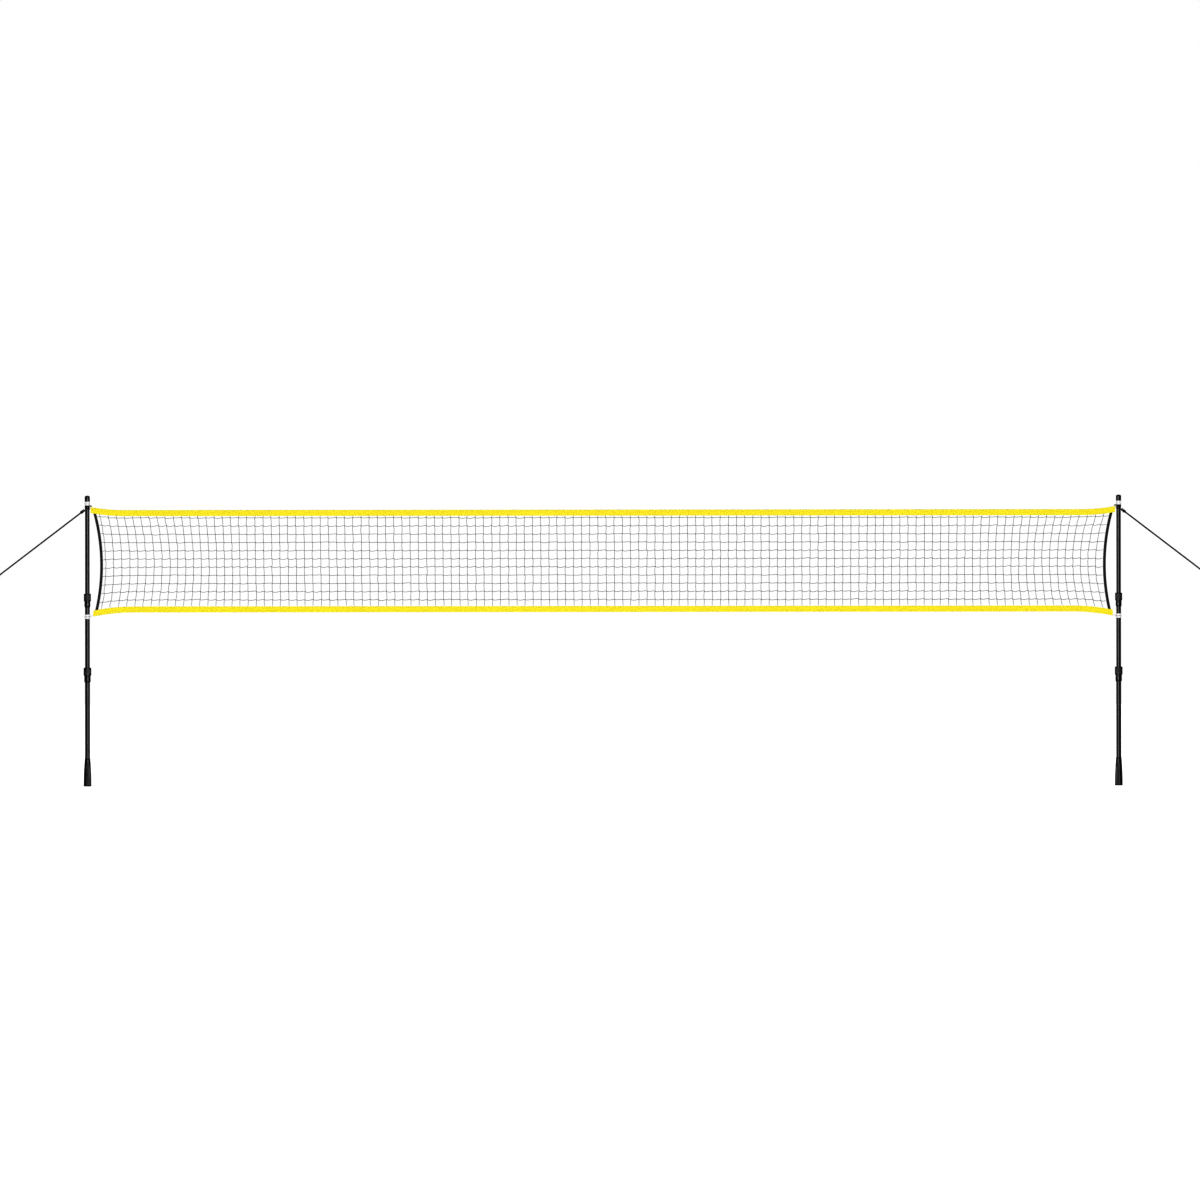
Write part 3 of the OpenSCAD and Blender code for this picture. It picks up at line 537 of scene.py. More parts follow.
def makeGuyRope(side):
    points = [Vector((x, 0, poleTop - down)) for x, down in guyRope["points"]]
    path = curveThrough(points, guyRope["ring"])
    lengths = runLengths(path)

    def braided(i, k):
        along, across = lengths[i] / guyRope["pick"], guyRope["carriers"] * k / guyRope["around"]
        first, second = math.sin(math.pi * (along + across)), math.sin(math.pi * (along - across))
        r = guyRope["tube"] + guyRope["strandRise"] * abs(first if first * second > 0 else second)
        a = math.tau * k / guyRope["around"]
        return r * math.cos(a), r * math.sin(a)

    bm = sweep(path, braided, guyRope["around"])
    rope = polePiece(bm, side, "rope", "guyBraid", "guy_rope", crease=60)
    place = [(sides[side] * (poleX + p.x), 0, p.z) for p in points]
    return rope, place


def loopOfRope(radius):
    half, throat = throatOf(radius)
    lean = ropeEye["lean"]
    reach, pinched = ropeEye["legReach"], half * ropeEye["legPinch"]
    path = [Vector((reach, pinched, 0)), Vector((0, half, 0))]
    for i in range(ropeEye["steps"] + 1):
        a = math.radians(90 - lean + (180 + 2 * lean) * i / ropeEye["steps"])
        path.append(Vector((radius * math.cos(a) - throat, radius * math.sin(a), 0)))
    return path + [Vector((0, -half, 0)), Vector((reach, -pinched, 0))]


def makeEye(side, name, radius, place, standing):
    # an eye of rope at -X, closed by turns of the rope's own end round its two legs
    thick, around, length = ropeEye["rope"] / 2, ropeEye["around"], ropeEye["knotLength"]
    bm = sweep(curveThrough(loopOfRope(radius), ropeEye["spacing"]), rounded(thick, around), around)
    bm.transform(Matrix.Translation((-length, 0, 0)))
    wind = ropeEye["knotDiameter"] / 2 - thick
    first, last = thick - length, -thick
    coil = []
    for i in range(-3, ropeEye["stepsPerTurn"] * ropeEye["knotTurns"] + 1):
        t = i / ropeEye["stepsPerTurn"]
        x = first + (last - first) * max(0, min(1, t / ropeEye["knotTurns"]))
        tuck = max(0, min(1, -t / ropeEye["tuckTurns"]))  # the first end dives under the turns
        r = wind * (1 - ropeEye["tuckIn"] * tuck)
        coil.append(Vector((x, r * math.cos(math.tau * t), r * math.sin(math.tau * t))))
    wound = rounded(thick * ropeEye["wound"], around)
    joinInto(bm, sweep(coil, wound, around, upright=Vector((1, 0, 0))))
    over, inset, around = ropeEye["coreOver"], ropeEye["coreInset"], ropeEye["coreAround"]
    core = [Vector((x, 0, 0)) for x in (first - over, first + inset, last - inset, last + inset)]
    joinInto(bm, sweep(core, rounded(lambda i: ropeEye["coreRadii"][i], around), around))
    if standing:
        bm.transform(Matrix.Rotation(math.radians(90), 4, "X"))
    bm.transform(place)
    return polePiece(bm, side, f"{name}_loop", "guyBraid", name, crease=60)


def hookPath():
    ring, bend, reach = guyHook["ringRadius"], guyHook["bendRadius"], guyHook["length"]
    slant = math.degrees(math.asin((ring + bend) / reach))
    path = []
    for i in range(guyHook["ringSteps"] + 1):
        a = math.radians(slant - 90 - guyHook["ringSweep"] * (1 - i / guyHook["ringSteps"]))
        path.append(Vector((ring * math.cos(a), ring * math.sin(a), 0)))
    bendPath = []
    for i in range(guyHook["bendSteps"] + 1):
        a = math.radians(90 + slant - guyHook["bendSweep"] * i / guyHook["bendSteps"])
        bendPath.append(Vector((reach + bend * math.cos(a), bend * math.sin(a), 0)))
    steps = guyHook["shankSteps"]
    return path + [path[-1].lerp(bendPath[0], i / steps) for i in range(1, steps)] + bendPath


def makeHook(side):
    path = hookPath()
    lengths = runLengths(path)
    rod = guyHook["rod"] / 2

    def nosed(i):
        # both cut ends are rounded off
        left = min(lengths[i], lengths[-1] - lengths[i])
        roundness = math.sqrt(max(0, 1 - (1 - min(1, left / rod)) ** 2))
        return rod * (guyHook["nose"] + (1 - guyHook["nose"]) * roundness)

    bm = sweep(path, rounded(nosed, guyHook["around"]), guyHook["around"])
    throat = throatOf(ropeEye["hookRadius"])[1]
    ringX = (ropeEye["knotLength"] + throat + ropeEye["hookRadius"] - ropeEye["rope"] / 2
             - clearance["slide"] - rod + guyHook["ringRadius"])
    upended = Matrix.Rotation(math.radians(90), 4, "X")
    bm.transform(guyPlace(guyEnd) @ Matrix.Translation((ringX, 0, 0)) @ upended)
    return polePiece(bm, side, "hook", "hookSteel", "guy_hook")


for side in sides:
    rope, place = makeGuyRope(side)
    makeEye(side, "guy_eye", ropeEye["poleRadius"], guyPlace(guyStart), True)
    endEye = makeEye(side, "guy_end_eye", ropeEye["hookRadius"], guyPlace(guyEnd, math.pi), False)
    hook = makeHook(side)
print("guy ropes made")


footBoot = {
    "flutes": 10, "fluteRadius": 0.007, "fluteDepth": 0.0022, "fluteFrom": 0.0006, "fluteTop": 0.78,
    "fluteFade": 0.02, "skin": 0.002, "edge": 0.0025, "edgeRound": (0.0007, 0.0008),
    "stepsPerFlute": 16, "mouthWall": 0.0017, "lip": 0.0009, "flankTop": 0.012, "flankSteps": 26,
    # the mouth's rim: share of the lip, and depth under the top
    "rim": [(0.2, 0.010), (1, 0.008), (1, 0.002), (1 / 3, 0.0004), (0, 0)],
    # grooves in the sole: their radii as shares of its own, their depth, width and slope
    "treadRings": (0.30, 0.55, 0.80), "tread": 0.003, "treadWidth": 0.005, "treadSlope": 0.0006,
}


def makeFoot(side):
    baseR, height = outerR(f"{side}_foot"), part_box(f"{side}_foot")[1].z
    bore = outerR(f"{side}_lower_tube") + clearance["seat"]
    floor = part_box(f"{side}_lower_tube")[0].z
    mouthR = bore + footBoot["mouthWall"]
    edge, lip = footBoot["edge"], footBoot["lip"]

    def flankR(z):
        return mouthR + (baseR - mouthR) * (1 - ((z - edge) / (height - edge)) ** 2)

    sole = [(0, 0)]
    tread, width, slope = footBoot["tread"], footBoot["treadWidth"], footBoot["treadSlope"]
    for share in footBoot["treadRings"]:
        r = baseR * share
        sole += [(r, 0), (r + slope, tread), (r + width - slope, tread), (r + width, 0)]
    sole += [(baseR - edge, 0), (baseR - footBoot["edgeRound"][0], footBoot["edgeRound"][1])]
    steps = footBoot["flankSteps"]
    flank = [edge + (height - footBoot["flankTop"] - edge) * i / steps for i in range(steps + 1)]
    mouth = [(mouthR + lip * share, height - down) for share, down in footBoot["rim"]]
    inside = [(bore, height), (bore, floor), (0, floor)]
    bm = turned(sole + [(flankR(z), z) for z in flank] + mouth + inside,
                footBoot["flutes"] * footBoot["stepsPerFlute"])
    fluteTop = footBoot["fluteTop"] * height
    chord = (flankR(edge) - flankR(fluteTop)) / fluteTop

    def fluteDepth(angle, r, z):
        if z < footBoot["fluteFrom"] or z > fluteTop or r < flankR(max(z, edge)) - footBoot["skin"]:
            return 0
        bulge = flankR(max(z, edge)) - (flankR(edge) - chord * z)
        deep = bulge + footBoot["fluteDepth"] * min(1, (fluteTop - z) / footBoot["fluteFade"])
        off = (angle * footBoot["flutes"] / math.tau - 0.5) % 1.0
        off = min(off, 1 - off) * math.tau / footBoot["flutes"] * r
        return max(0, deep - off * off / (2 * footBoot["fluteRadius"]))

    drawIn(bm, fluteDepth)
    polePiece(bm, side, "boot", "footRubber", "foot", crease=32)


# each twist-lock clamp is a sleeve on the outer tube and a nut that turns round the inner one
clamp = {
    "lip": 0.002, "taper": 0.010, "round": 0.004, "edge": 0.0008, "steps": 96,
    "neckWall": 0.0024, "colletLip": 0.0015, "floorStep": 0.0018,
    # ribs under the nut: height from the rib's own, and share of the waist
    "waist": 0.001, "ribs": 3, "ribPitch": 0.0048, "ribDown": 0.016,
    "rib": [(-0.0012, 0), (-0.0004, 1), (0.0010, 1), (0.0018, 0)],
}
lockNut = {
    "grooves": 14, "grooveRadius": 0.0034, "grooveDepth": 0.0016, "grooveEnd": 0.009,
    "stepsPerGroove": 12, "footRound": 0.004, "topRound": 0.007, "edge": 0.0008, "lid": 0.006,
    "colletRoom": 0.0019, "flankFrom": 0.003, "flankTo": 0.002, "flankSteps": 22, "skin": 0.002,
    "runOut": 0.003, "fadeFrom": 0.002, "fade": 0.004,
}
outerTube = {"lower": "lower_tube", "upper": "middle_tube"}
innerTube = {"lower": "middle_tube", "upper": "top_tube"}


def makeSleeve(side, level):
    low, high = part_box(f"{side}_{level}_clamp_sleeve")
    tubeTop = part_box(f"{side}_{outerTube[level]}")[1].z
    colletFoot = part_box(f"{side}_{level}_collet")[0].z
    outer, bottom, neckTop = outerR(f"{side}_{level}_clamp_sleeve"), low.z, high.z
    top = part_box(f"{side}_{level}_nut")[0].z - clearance["slide"]
    bore = outerR(f"{side}_{outerTube[level]}") + clearance["seat"]
    colletR = outerR(f"{side}_{level}_collet") - clamp["colletLip"] + clearance["seat"]
    neck, step, edge = colletR + clamp["neckWall"], bore - clamp["floorStep"], clamp["edge"]
    body = [(bore, bottom), (bore + clamp["lip"], bottom)]
    body += arc(outer - clamp["round"], bottom + clamp["taper"], clamp["round"], -50, 0, 5)
    for i in range(clamp["ribs"]):
        z = top - clamp["ribDown"] + clamp["ribPitch"] * i
        body += [(outer - clamp["waist"] * share, z + up) for up, share in clamp["rib"]]
    body += [(outer, top - edge), (outer - edge, top), (neck, top), (neck, neckTop),
             (colletR, neckTop), (colletR, colletFoot), (step, colletFoot), (step, tubeTop),
             (bore, tubeTop)]
    bm = turned(body, clamp["steps"])
    polePiece(bm, side, f"{level}_sleeve", "clampPlastic", f"{level}_clamp_sleeve",
              crease=30)


def makeNut(side, level):
    low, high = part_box(f"{side}_{level}_nut")
    outer = outerR(f"{side}_{level}_nut")
    mouth = outerR(f"{side}_{innerTube[level]}") + clearance["slide"]
    bore = outerR(f"{side}_{level}_collet") + lockNut["colletRoom"]
    lidZ, edge, end = high.z - lockNut["lid"], lockNut["edge"], lockNut["grooveEnd"]
    footRound, topRound = lockNut["footRound"], lockNut["topRound"]
    start, stop = low.z + end - lockNut["flankFrom"], high.z - end + lockNut["flankTo"]
    steps = lockNut["flankSteps"]
    body = [(bore, low.z)] + arc(outer - footRound, low.z + footRound, footRound, -90, 0, 5)
    body += [(outer, start + (stop - start) * i / steps) for i in range(steps + 1)]
    body += arc(outer - topRound, high.z - topRound, topRound, 0, 90, 7)
    body += [(mouth + edge, high.z), (mouth, high.z - edge), (mouth, lidZ), (bore, lidZ)]
    bm = turned(body, lockNut["grooves"] * lockNut["stepsPerGroove"])
    depth, radius = lockNut["grooveDepth"], lockNut["grooveRadius"]

    def grooveDepth(angle, r, z):
        ends = min(z - low.z - end, high.z - end - z)
        if r < outer - lockNut["skin"] or ends < -lockNut["runOut"]:
            return 0
        off = (angle * lockNut["grooves"] / math.tau) % 1.0
        off = min(off, 1 - off) * math.tau / lockNut["grooves"] * outer
        cut = depth - radius + math.sqrt(max(0, radius ** 2 - off ** 2))
        return max(0, cut * min(1, max(0, (ends + lockNut["fadeFrom"]) / lockNut["fade"])))

    drawIn(bm, grooveDepth)
    polePiece(bm, side, f"{level}_grip_nut", "clampPlastic", f"{level}_nut",
              crease=40)


topCap = {
    # the rim: how far in from the outside, and how far up from the bottom
    "rim": [(0.0008, 0), (0, 0.0008), (0, 0.004), (0.0005, 0.0046), (0.0005, 0.0058), (0, 0.0064)],
    "dome": 0.012, "domeSteps": 12, "seat": 0.036, "steps": 72,
}
collar = {
    # the upper ring's waist: how far in, and how far from its middle
    "waist": [(0, 0.005), (0.0003, 0.0042), (0.001, 0.003)],
    "edge": 0.001, "grooveEdge": 0.0004, "steps": 72,
}


def makeCap(side):
    low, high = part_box(f"{side}_top_cap")
    outer = outerR(f"{side}_top_cap")
    bore = outerR(f"{side}_top_tube") + clearance["seat"]
    dome, steps, seat = topCap["dome"], topCap["domeSteps"], low.z + topCap["seat"]
    body = [(bore, low.z)] + [(outer - inward, low.z + up) for inward, up in topCap["rim"]]
    for i in range(steps + 1):
        a = math.radians(90 * i / steps)
        body.append((outer * math.cos(a) if i < steps else 0, high.z - dome + dome * math.sin(a)))
    bm = turned(body + [(0, seat), (bore, seat)], topCap["steps"])
    polePiece(bm, side, "dome_cap", "capPlastic", "top_cap")


def makeCollar(side, node, name, bore, waist):
    low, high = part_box(f"{side}_{node}")
    outer, middle, edge = outerR(f"{side}_{node}"), (high.z + low.z) / 2, collar["edge"]
    body = [(bore, low.z)] + arc(outer - edge, low.z + edge, edge, -90, 0, 3)
    body += [(outer - inward, middle - off) for inward, off in waist]
    body += [(outer - inward, middle + off) for inward, off in reversed(waist)]
    body += arc(outer - edge, high.z - edge, edge, 0, 90, 3) + [(bore, high.z)]
    bm = turned(body, collar["steps"])
    polePiece(bm, side, name, "collarPlastic", node)


def makeCollars(side):
    makeCollar(side, "upper_collar", "upper_ring", topTubeR + clearance["seat"], collar["waist"])
    groove, lip = footCord["grooveHeight"] / 2, collar["grooveEdge"]
    depth = outerR(f"{side}_lower_collar") - footCord["grooveRadius"]
    makeCollar(side, "lower_collar", "sliding_ring", middleTubeR + clearance["slide"],
               [(0, groove + lip), (lip, groove), (depth, groove)])


# the net's edges follow the same curves as the solids' do
span = {
    "height": 0.900, "drop": 0.128, "tape": 0.052,
    "topGap": 0.024, "topRise": 0.028, "topReach": 0.310, "topHem": 0.006,
    "bottomGap": 0.052, "bottomDrop": 0.036, "bottomReach": 0.350,
    "bandTopGap": 0.064, "bandFootGap": 0.080, "bandBow": 0.053, "bandWidth": 0.024,
    # the height and rate of two slow waves, and how far from a pole they start to die out
    "ripples": ((0.0022, 3.1), (0.0010, 8.3)), "calmReach": 0.6,
}
netTopZ = poleTop - span["drop"]
netBottomZ = netTopZ - span["height"]


def flare(x, gap, reach):
    return (max(0.0, abs(x) - (poleX - gap) + reach) / reach) ** 2


def topEdgeZ(x):
    return netTopZ + span["topRise"] * flare(x, span["topGap"], span["topReach"])


def bottomEdgeZ(x):
    return netBottomZ - span["bottomDrop"] * flare(x, span["bottomGap"], span["bottomReach"])


# inward is the way from a tape's outer edge to its cloth, and shift moves its ripple along
tapeEdge = {
    "top_tape": {"edgeZ": topEdgeZ, "gap": span["topGap"], "reach": span["topReach"], "inward": -1,
                 "shift": 0.4},
    "bottom_tape": {"edgeZ": bottomEdgeZ, "gap": span["bottomGap"], "reach": span["bottomReach"],
                    "inward": 1, "shift": 2.1},
}


def ripple(x, shift):
    # the cloth's slow sideways wave, which dies out at the poles
    calm = min(1.0, (poleX - abs(x)) / span["calmReach"])
    (slow, slowRate), (quick, quickRate) = span["ripples"]
    wave = slow * math.sin(slowRate * x + shift) + quick * math.sin(quickRate * x + 2 * shift)
    return calm * wave


headCord = {
    "diameter": 0.0034, "channel": 0.009, "turns": 5, "gap": 0.0005, "leave": 115, "around": 10,
    "pull": 0.001, "curl": 0.014, "stepsPerTurn": 28,
    "tail": [(0.0006, 0.0016), (0.0022, 0.0028), (0.0034, 0.003)],
}
tailKnot = {
    "turns": 3, "reach": 0.0105, "ring": 0.0050, "swell": 0.28, "cord": 0.0048, "drop": 0.0034,
    "out": 0.0100, "side": 0.003, "around": 10, "stepsPerTurn": 20,
    # the frayed stub: share of the knot's length, height and radius
    "stub": [(0.62, 0.0034, 0.0017), (0.3, 0.0008, 0.0040), (-0.3, 0, 0.0040),
             (-0.5, -0.0003, 0.0030), (-0.85, -0.0016, 0.0017)],
}
footCord = {
    "diameter": 0.004, "channel": 0.007, "sweep": 430, "gap": 0.0005, "leave": 110, "around": 10,
    "pull": 0.011, "curl": 0.018, "stepsPerTurn": 28, "wall": 0.0012,
}
lashing = {"diameter": 0.0034, "turns": 3, "gap": 0.0005, "reach": 55, "narrow": 0.6, "around": 10,
           "stepsPerTurn": 40}
cordRun = {"mouth": 0.001, "inset": 0.012, "steps": 16, "middleSteps": 160, "leadSteps": 14}
topTubeR, middleTubeR = outerR("right_top_tube"), outerR("right_middle_tube")
headCord["pitch"] = headCord["diameter"] + headCord["gap"]
footCord["pitch"] = footCord["diameter"] + footCord["gap"]
footCord["grooveRadius"] = middleTubeR + clearance["slide"] + footCord["wall"]
footCord["grooveHeight"] = (footCord["pitch"] * footCord["sweep"] / 360 + footCord["diameter"]
                            + 2 * clearance["seat"])
headCord["sweep"] = 360 * headCord["turns"] - (180 - headCord["leave"])
headCord["topZ"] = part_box("right_upper_collar")[0].z - headCord["diameter"] / 2 - clearance["seat"]
headCord["coilZ"] = headCord["topZ"] - headCord["pitch"] * headCord["sweep"] / 360


def bezier(a, b, c, d, t):
    return a * (1 - t) ** 3 + b * 3 * (1 - t) ** 2 * t + c * 3 * (1 - t) * t * t + d * t ** 3


def leadIn(mouth, r, z, cord):
    # from the tape's mouth to the first turn, which it meets on the tangent
    a = math.radians(cord["leave"])
    end = Vector((r * math.cos(a), r * math.sin(a), z))
    pulled = mouth + Vector((cord["pull"], 0, 0))
    curled = end + Vector((-math.sin(a), math.cos(a), 0)) * cord["curl"]
    steps = cordRun["leadSteps"]
    return [bezier(mouth, pulled, curled, end, i / steps) for i in range(steps)]


def windings(r, z, pitch, cord):
    wound = cord["sweep"]
    count = round(cord["stepsPerTurn"] * wound / 360)
    path = []
    for i in range(count + 1):
        a = math.radians(cord["leave"] - wound * i / count)
        path.append(Vector((r * math.cos(a), r * math.sin(a), z + pitch * wound * i / count / 360)))
    return path


def alongSpan(edge, channel):
    # the cord's run in its tape, close together where the tape curves
    outer, reach = poleX - edge["gap"] - cordRun["inset"], edge["reach"] - cordRun["inset"]
    steps, middleSteps = cordRun["steps"], cordRun["middleSteps"]
    xs = [-(outer - reach * i / steps) for i in range(steps + 1)]
    xs += [-(outer - reach) + 2 * (outer - reach) * i / middleSteps for i in range(1, middleSteps)]
    xs += [outer - reach * (1 - i / steps) for i in range(steps + 1)]
    return [Vector((x, ripple(x, edge["shift"]), edge["edgeZ"](x) + channel)) for x in xs]


def netCord(cord, tapeName, r, z, pitch, tail):
    # one cord from end to end: round both poles, and through its tape between them
    edge, around = tapeEdge[tapeName], cord["around"]
    gap, channel = edge["gap"], edge["inward"] * cord["channel"]
    mouth = Vector((cordRun["mouth"] - gap, 0, edge["edgeZ"](poleX - gap) + channel))
    end = leadIn(mouth, r, z, cord) + windings(r, z, pitch, cord) + tail
    right = [Vector((poleX + p.x, p.y, p.z)) for p in end]
    left = [Vector((-poleX - p.x, p.y, p.z)) for p in reversed(end)]
    path = left + alongSpan(edge, channel) + right
    return sweep(path, rounded(cord["diameter"] / 2, around), around)


def makeHeadCord():
    r = topTubeR + clearance["seat"] + headCord["diameter"] / 2
    tail = [Vector((-r - out, y, headCord["topZ"])) for out, y in headCord["tail"]]
    bm = netCord(headCord, "top_tape", r, headCord["coilZ"], headCord["pitch"], tail)
    place = Vector((-r - tailKnot["out"], tailKnot["side"], headCord["topZ"] - tailKnot["drop"]))
    for side in sides:
        joinInto(bm, makeTailKnot(side, place))
    return finishPiece(bm, "head_line", "blackCord", ["head_cord"], crease=60)


def makeTailKnot(side, place):
    # an overhand knot: fat turns of the doubled end round the cord, and its short frayed stub
    reach, around = tailKnot["reach"], tailKnot["around"]
    count, swell = tailKnot["stepsPerTurn"] * tailKnot["turns"], tailKnot["swell"]
    path = []
    for i in range(count + 1):
        t = i / count
        a = math.tau * tailKnot["turns"] * t
        r = tailKnot["ring"] * (1 - swell + swell * math.sin(math.pi * t))
        path.append(place + Vector((reach * (0.5 - t), r * math.cos(a), r * math.sin(a))))
    knot = sweep(path, rounded(tailKnot["cord"] / 2, around), around, upright=Vector((1, 0, 0)))
    stub = [place + Vector((spot[0] * reach, 0, spot[1])) for spot in tailKnot["stub"]]
    joinInto(knot, sweep(stub, rounded(lambda i: tailKnot["stub"][i][2], around), around))
    return toPole(knot, side)


def makeFootCord():
    r = footCord["grooveRadius"] + clearance["seat"] + footCord["diameter"] / 2
    ringLow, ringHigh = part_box("right_lower_collar")
    coilZ = (ringLow.z + ringHigh.z) / 2 + footCord["pitch"] * footCord["sweep"] / 720
    bm = netCord(footCord, "bottom_tape", r, coilZ, -footCord["pitch"], [])
    return finishPiece(bm, "foot_line", "whiteCord", ["foot_cord"], crease=60)


def makeLashing(side):
    thick, turns = lashing["diameter"], lashing["turns"]
    pitch = thick + lashing["gap"]
    r = topTubeR + clearance["seat"] + thick / 2
    topZ = headCord["coilZ"] - headCord["diameter"] / 2 - headCord["gap"] - thick / 2
    baseZ = topZ - pitch * turns
    back = ropeEye["knotLength"] + throatOf(ropeEye["poleRadius"])[1]
    eyeX = guyStart.x - back * math.cos(guyFall)
    eyeZ = guyStart.z + back * math.sin(guyFall)
    path = []
    for i in range(lashing["stepsPerTurn"] * turns + 1):
        turn = i / lashing["stepsPerTurn"]
        a = math.radians(180 - 360 * turn)
        off = abs(turn - 0.5) * 360
        pull = 0
        if off < lashing["reach"]:  # drawn out through the rope's eye
            pull = math.cos(math.radians(90 * off / lashing["reach"])) ** (2 * lashing["narrow"])
        reach = r + (eyeX - r) * pull
        z = baseZ + pitch * turn + (eyeZ - baseZ - pitch / 2) * pull
        path.append(Vector((reach * math.cos(a), reach * math.sin(a), z)))
    bm = sweep(path, rounded(thick / 2, lashing["around"]), lashing["around"])
    polePiece(bm, side, "lashing", "blackCord", "guy_lashing", crease=60)


for side in sides:
    makeFoot(side)
    for level in ("lower", "upper"):
        makeSleeve(side, level)
        makeNut(side, level)
    makeCap(side)
    makeCollars(side)
    makeLashing(side)
makeHeadCord()
makeFootCord()
print("poles and cords made")


tape = {
    # half of the fold's outline: depth from the outer edge, and half the thickness there
    "fold": [(0.0000, 0.0000), (0.0004, 0.0013), (0.0022, 0.0025), (0.0058, 0.0031),
             (0.0098, 0.0032), (0.0136, 0.0027), (0.0160, 0.0021), (0.0172, 0.0017),
             (0.0184, 0.0020), (0.0240, 0.0021), (0.0340, 0.0020), (0.0430, 0.0020),
             (0.0452, 0.0016), (0.0470, 0.0019), (0.0512, 0.0021), (0.0520, 0.0018)],
    # the same for its inside, from the open edges to the channel of the cord
    "inside": [(0.0520, 0.0012), (0.0440, 0.0007), (0.0300, 0.0010), (0.0190, 0.0010),
               (0.0172, 0.0007), (0.0150, 0.0013), (0.0125, 0.0020), (0.0090, 0.0023),
               (0.0055, 0.0022), (0.0026, 0.0015), (0.0011, 0.0000)],
    "flatWidth": 0.106, "stations": 640, "hem": 0.026, "hemRise": 0.0007, "hemStep": 0.0012,
    # puckers beside the stitches, and how far and how fast their pitch wanders
    "pucker": 0.00025, "puckerPitch": 0.0235, "puckerReach": 0.005, "puckerWander": (2.2, 5.7),
    # each line's depth, and how far its stitches stand from the middle of the fold
    "stitchLines": {0.0172: 0.0018, 0.0452: 0.0017},
    "stitchPitch": 0.008, "stitch": (0.0058, 0.0011, 0.0007), "stitchInset": 0.004,
    "stitchHalf": 0.003,
    # the row across each hem: how far from the hem's inner end, and the first depth and the pitch
    "hemStitches": 6, "hemStitchIn": 0.005, "hemStitchDepth": (0.0065, 0.0078),
    "hemStitchRise": (0.0037, 0.0026),
}


def tapeShape(name):
    edge = tapeEdge[name]
    inward, shift = edge["inward"], edge["shift"]
    half = poleX - edge["gap"] - (span["topHem"] if inward < 0 else 0)

    def place(x, depth, y):
        return Vector((x, ripple(x, shift) + y, edge["edgeZ"](x) + inward * depth))

    def thickness(x, depth, halfThick):
        hem = tape["hemRise"] if half - abs(x) < tape["hem"] else 0.0
        swing, rate = tape["puckerWander"]
        wave = math.sin(math.tau * x / tape["puckerPitch"] + swing * math.sin(rate * x + shift))
        near = max(math.exp(-((depth - line) / tape["puckerReach"]) ** 2)
                   for line in tape["stitchLines"])
        sign = 1 if halfThick > 0 else -1
        return halfThick + sign * hem + tape["pucker"] * wave * near

    return half, place, thickness


def makeTape(name):
    half, place, thickness = tapeShape(name)
    front = [(d, -y) for d, y in tape["fold"] + tape["inside"]]
    back = [(d, y) for d, y in reversed(tape["fold"][1:] + tape["inside"][:-1])]
    outline = front + back
    xs = [-half + 2 * half * i / tape["stations"] for i in range(tape["stations"] + 1)]
    # the hem's step needs stations of its own
    ends = [half - tape["hem"], half - tape["hem"] + tape["hemStep"], half - tape["hemStep"]]
    xs = sorted(xs + ends + [-x for x in ends])
    path = [Vector((x, 0, tapeEdge[name]["edgeZ"](x))) for x in xs]
    upright = [(Vector((0, 1, 0)), Vector((0, 0, 1)))] * len(path)

    def outlineAt(i, k):
        depth, y = outline[k]
        spot = place(xs[i], depth, thickness(xs[i], depth, y) if y else 0.0)
        return spot.y, spot.z - path[i].z

    bm = sweep(path, outlineAt, len(outline), frames=upright)
    cloth = finishPiece(bm, f"{name}_cloth", "tapeVinyl", [name], crease=50)
    stitches = makeTapeStitches(name)


def makeTapeStitches(name):
    half, place, thickness = tapeShape(name)
    bm = bmesh.new()
    inset, pitch, reach = tape["stitchInset"], tape["stitchPitch"], tape["stitchHalf"]
    for depth, rise in tape["stitchLines"].items():
        for face in (-1, 1):
            spots = []
            for i in range(int(2 * (half - inset) / pitch) + 1):
                x = -half + inset + pitch * i
                spot = place(x, depth, thickness(x, depth, face * rise))
                ahead = (place(x + reach, depth, 0) - place(x - reach, depth, 0)).normalized()
                spots.append((spot, ahead, Vector((0, face, 0))))
            stitchRow(bm, spots, tape["stitch"])
    first, step = tape["hemStitchDepth"]
    for end in (-1, 1):
        x = end * (half - tape["hem"] + tape["hemStitchIn"])
        for i in range(tape["hemStitches"]):
            for face in (-1, 1):
                spot = place(x, first + step * i, face * tape["hemStitchRise"][min(i, 1)])
                stitchRow(bm, [(spot, Vector((0, 0, 1)), Vector((0, face, 0)))], tape["stitch"])
    bmesh.ops.recalc_face_normals(bm, faces=bm.faces)
    return finishPiece(bm, f"{name}_stitches", "yellowThread", body=bodyOf[name],
                       crease=30)


makeTape("top_tape")
makeTape("bottom_tape")
print("tapes made")


sideBand = {
    "thick": 0.005, "tuck": 0.008, "round": 0.0012, "corner": 0.3, "steps": 56,
    "endSteps": (0.005, 0.011, 0.989, 0.995), "slopeReach": 0.01,
    # the tucked ends are pressed flat, to this share of the thickness
    "pressed": 0.28, "pressedTo": 1.1,
    # the stitches lie in a groove of this half width and depth, in a face that bulges a little,
    # and the tucked ends have none
    "stitchInset": 0.0036, "groove": (0.0012, 0.0004), "bulge": 0.0002, "sunk": 0.0002,
    "stitchPitch": 0.0062, "stitch": (0.0044, 0.0010, 0.0006), "bareStitches": (3, 2),
}


def bandMiddle(side, t):
    gap = (span["bandFootGap"] + (span["bandTopGap"] - span["bandFootGap"]) * t
           + 4 * span["bandBow"] * t * (1 - t))
    topX, footX = poleX - span["bandTopGap"], poleX - span["bandFootGap"]
    topZ = topEdgeZ(topX) - span["tape"] + sideBand["tuck"]
    footZ = bottomEdgeZ(footX) + span["tape"] - sideBand["tuck"]
    return Vector((sides[side] * (poleX - gap), 0, footZ + (topZ - footZ) * t))


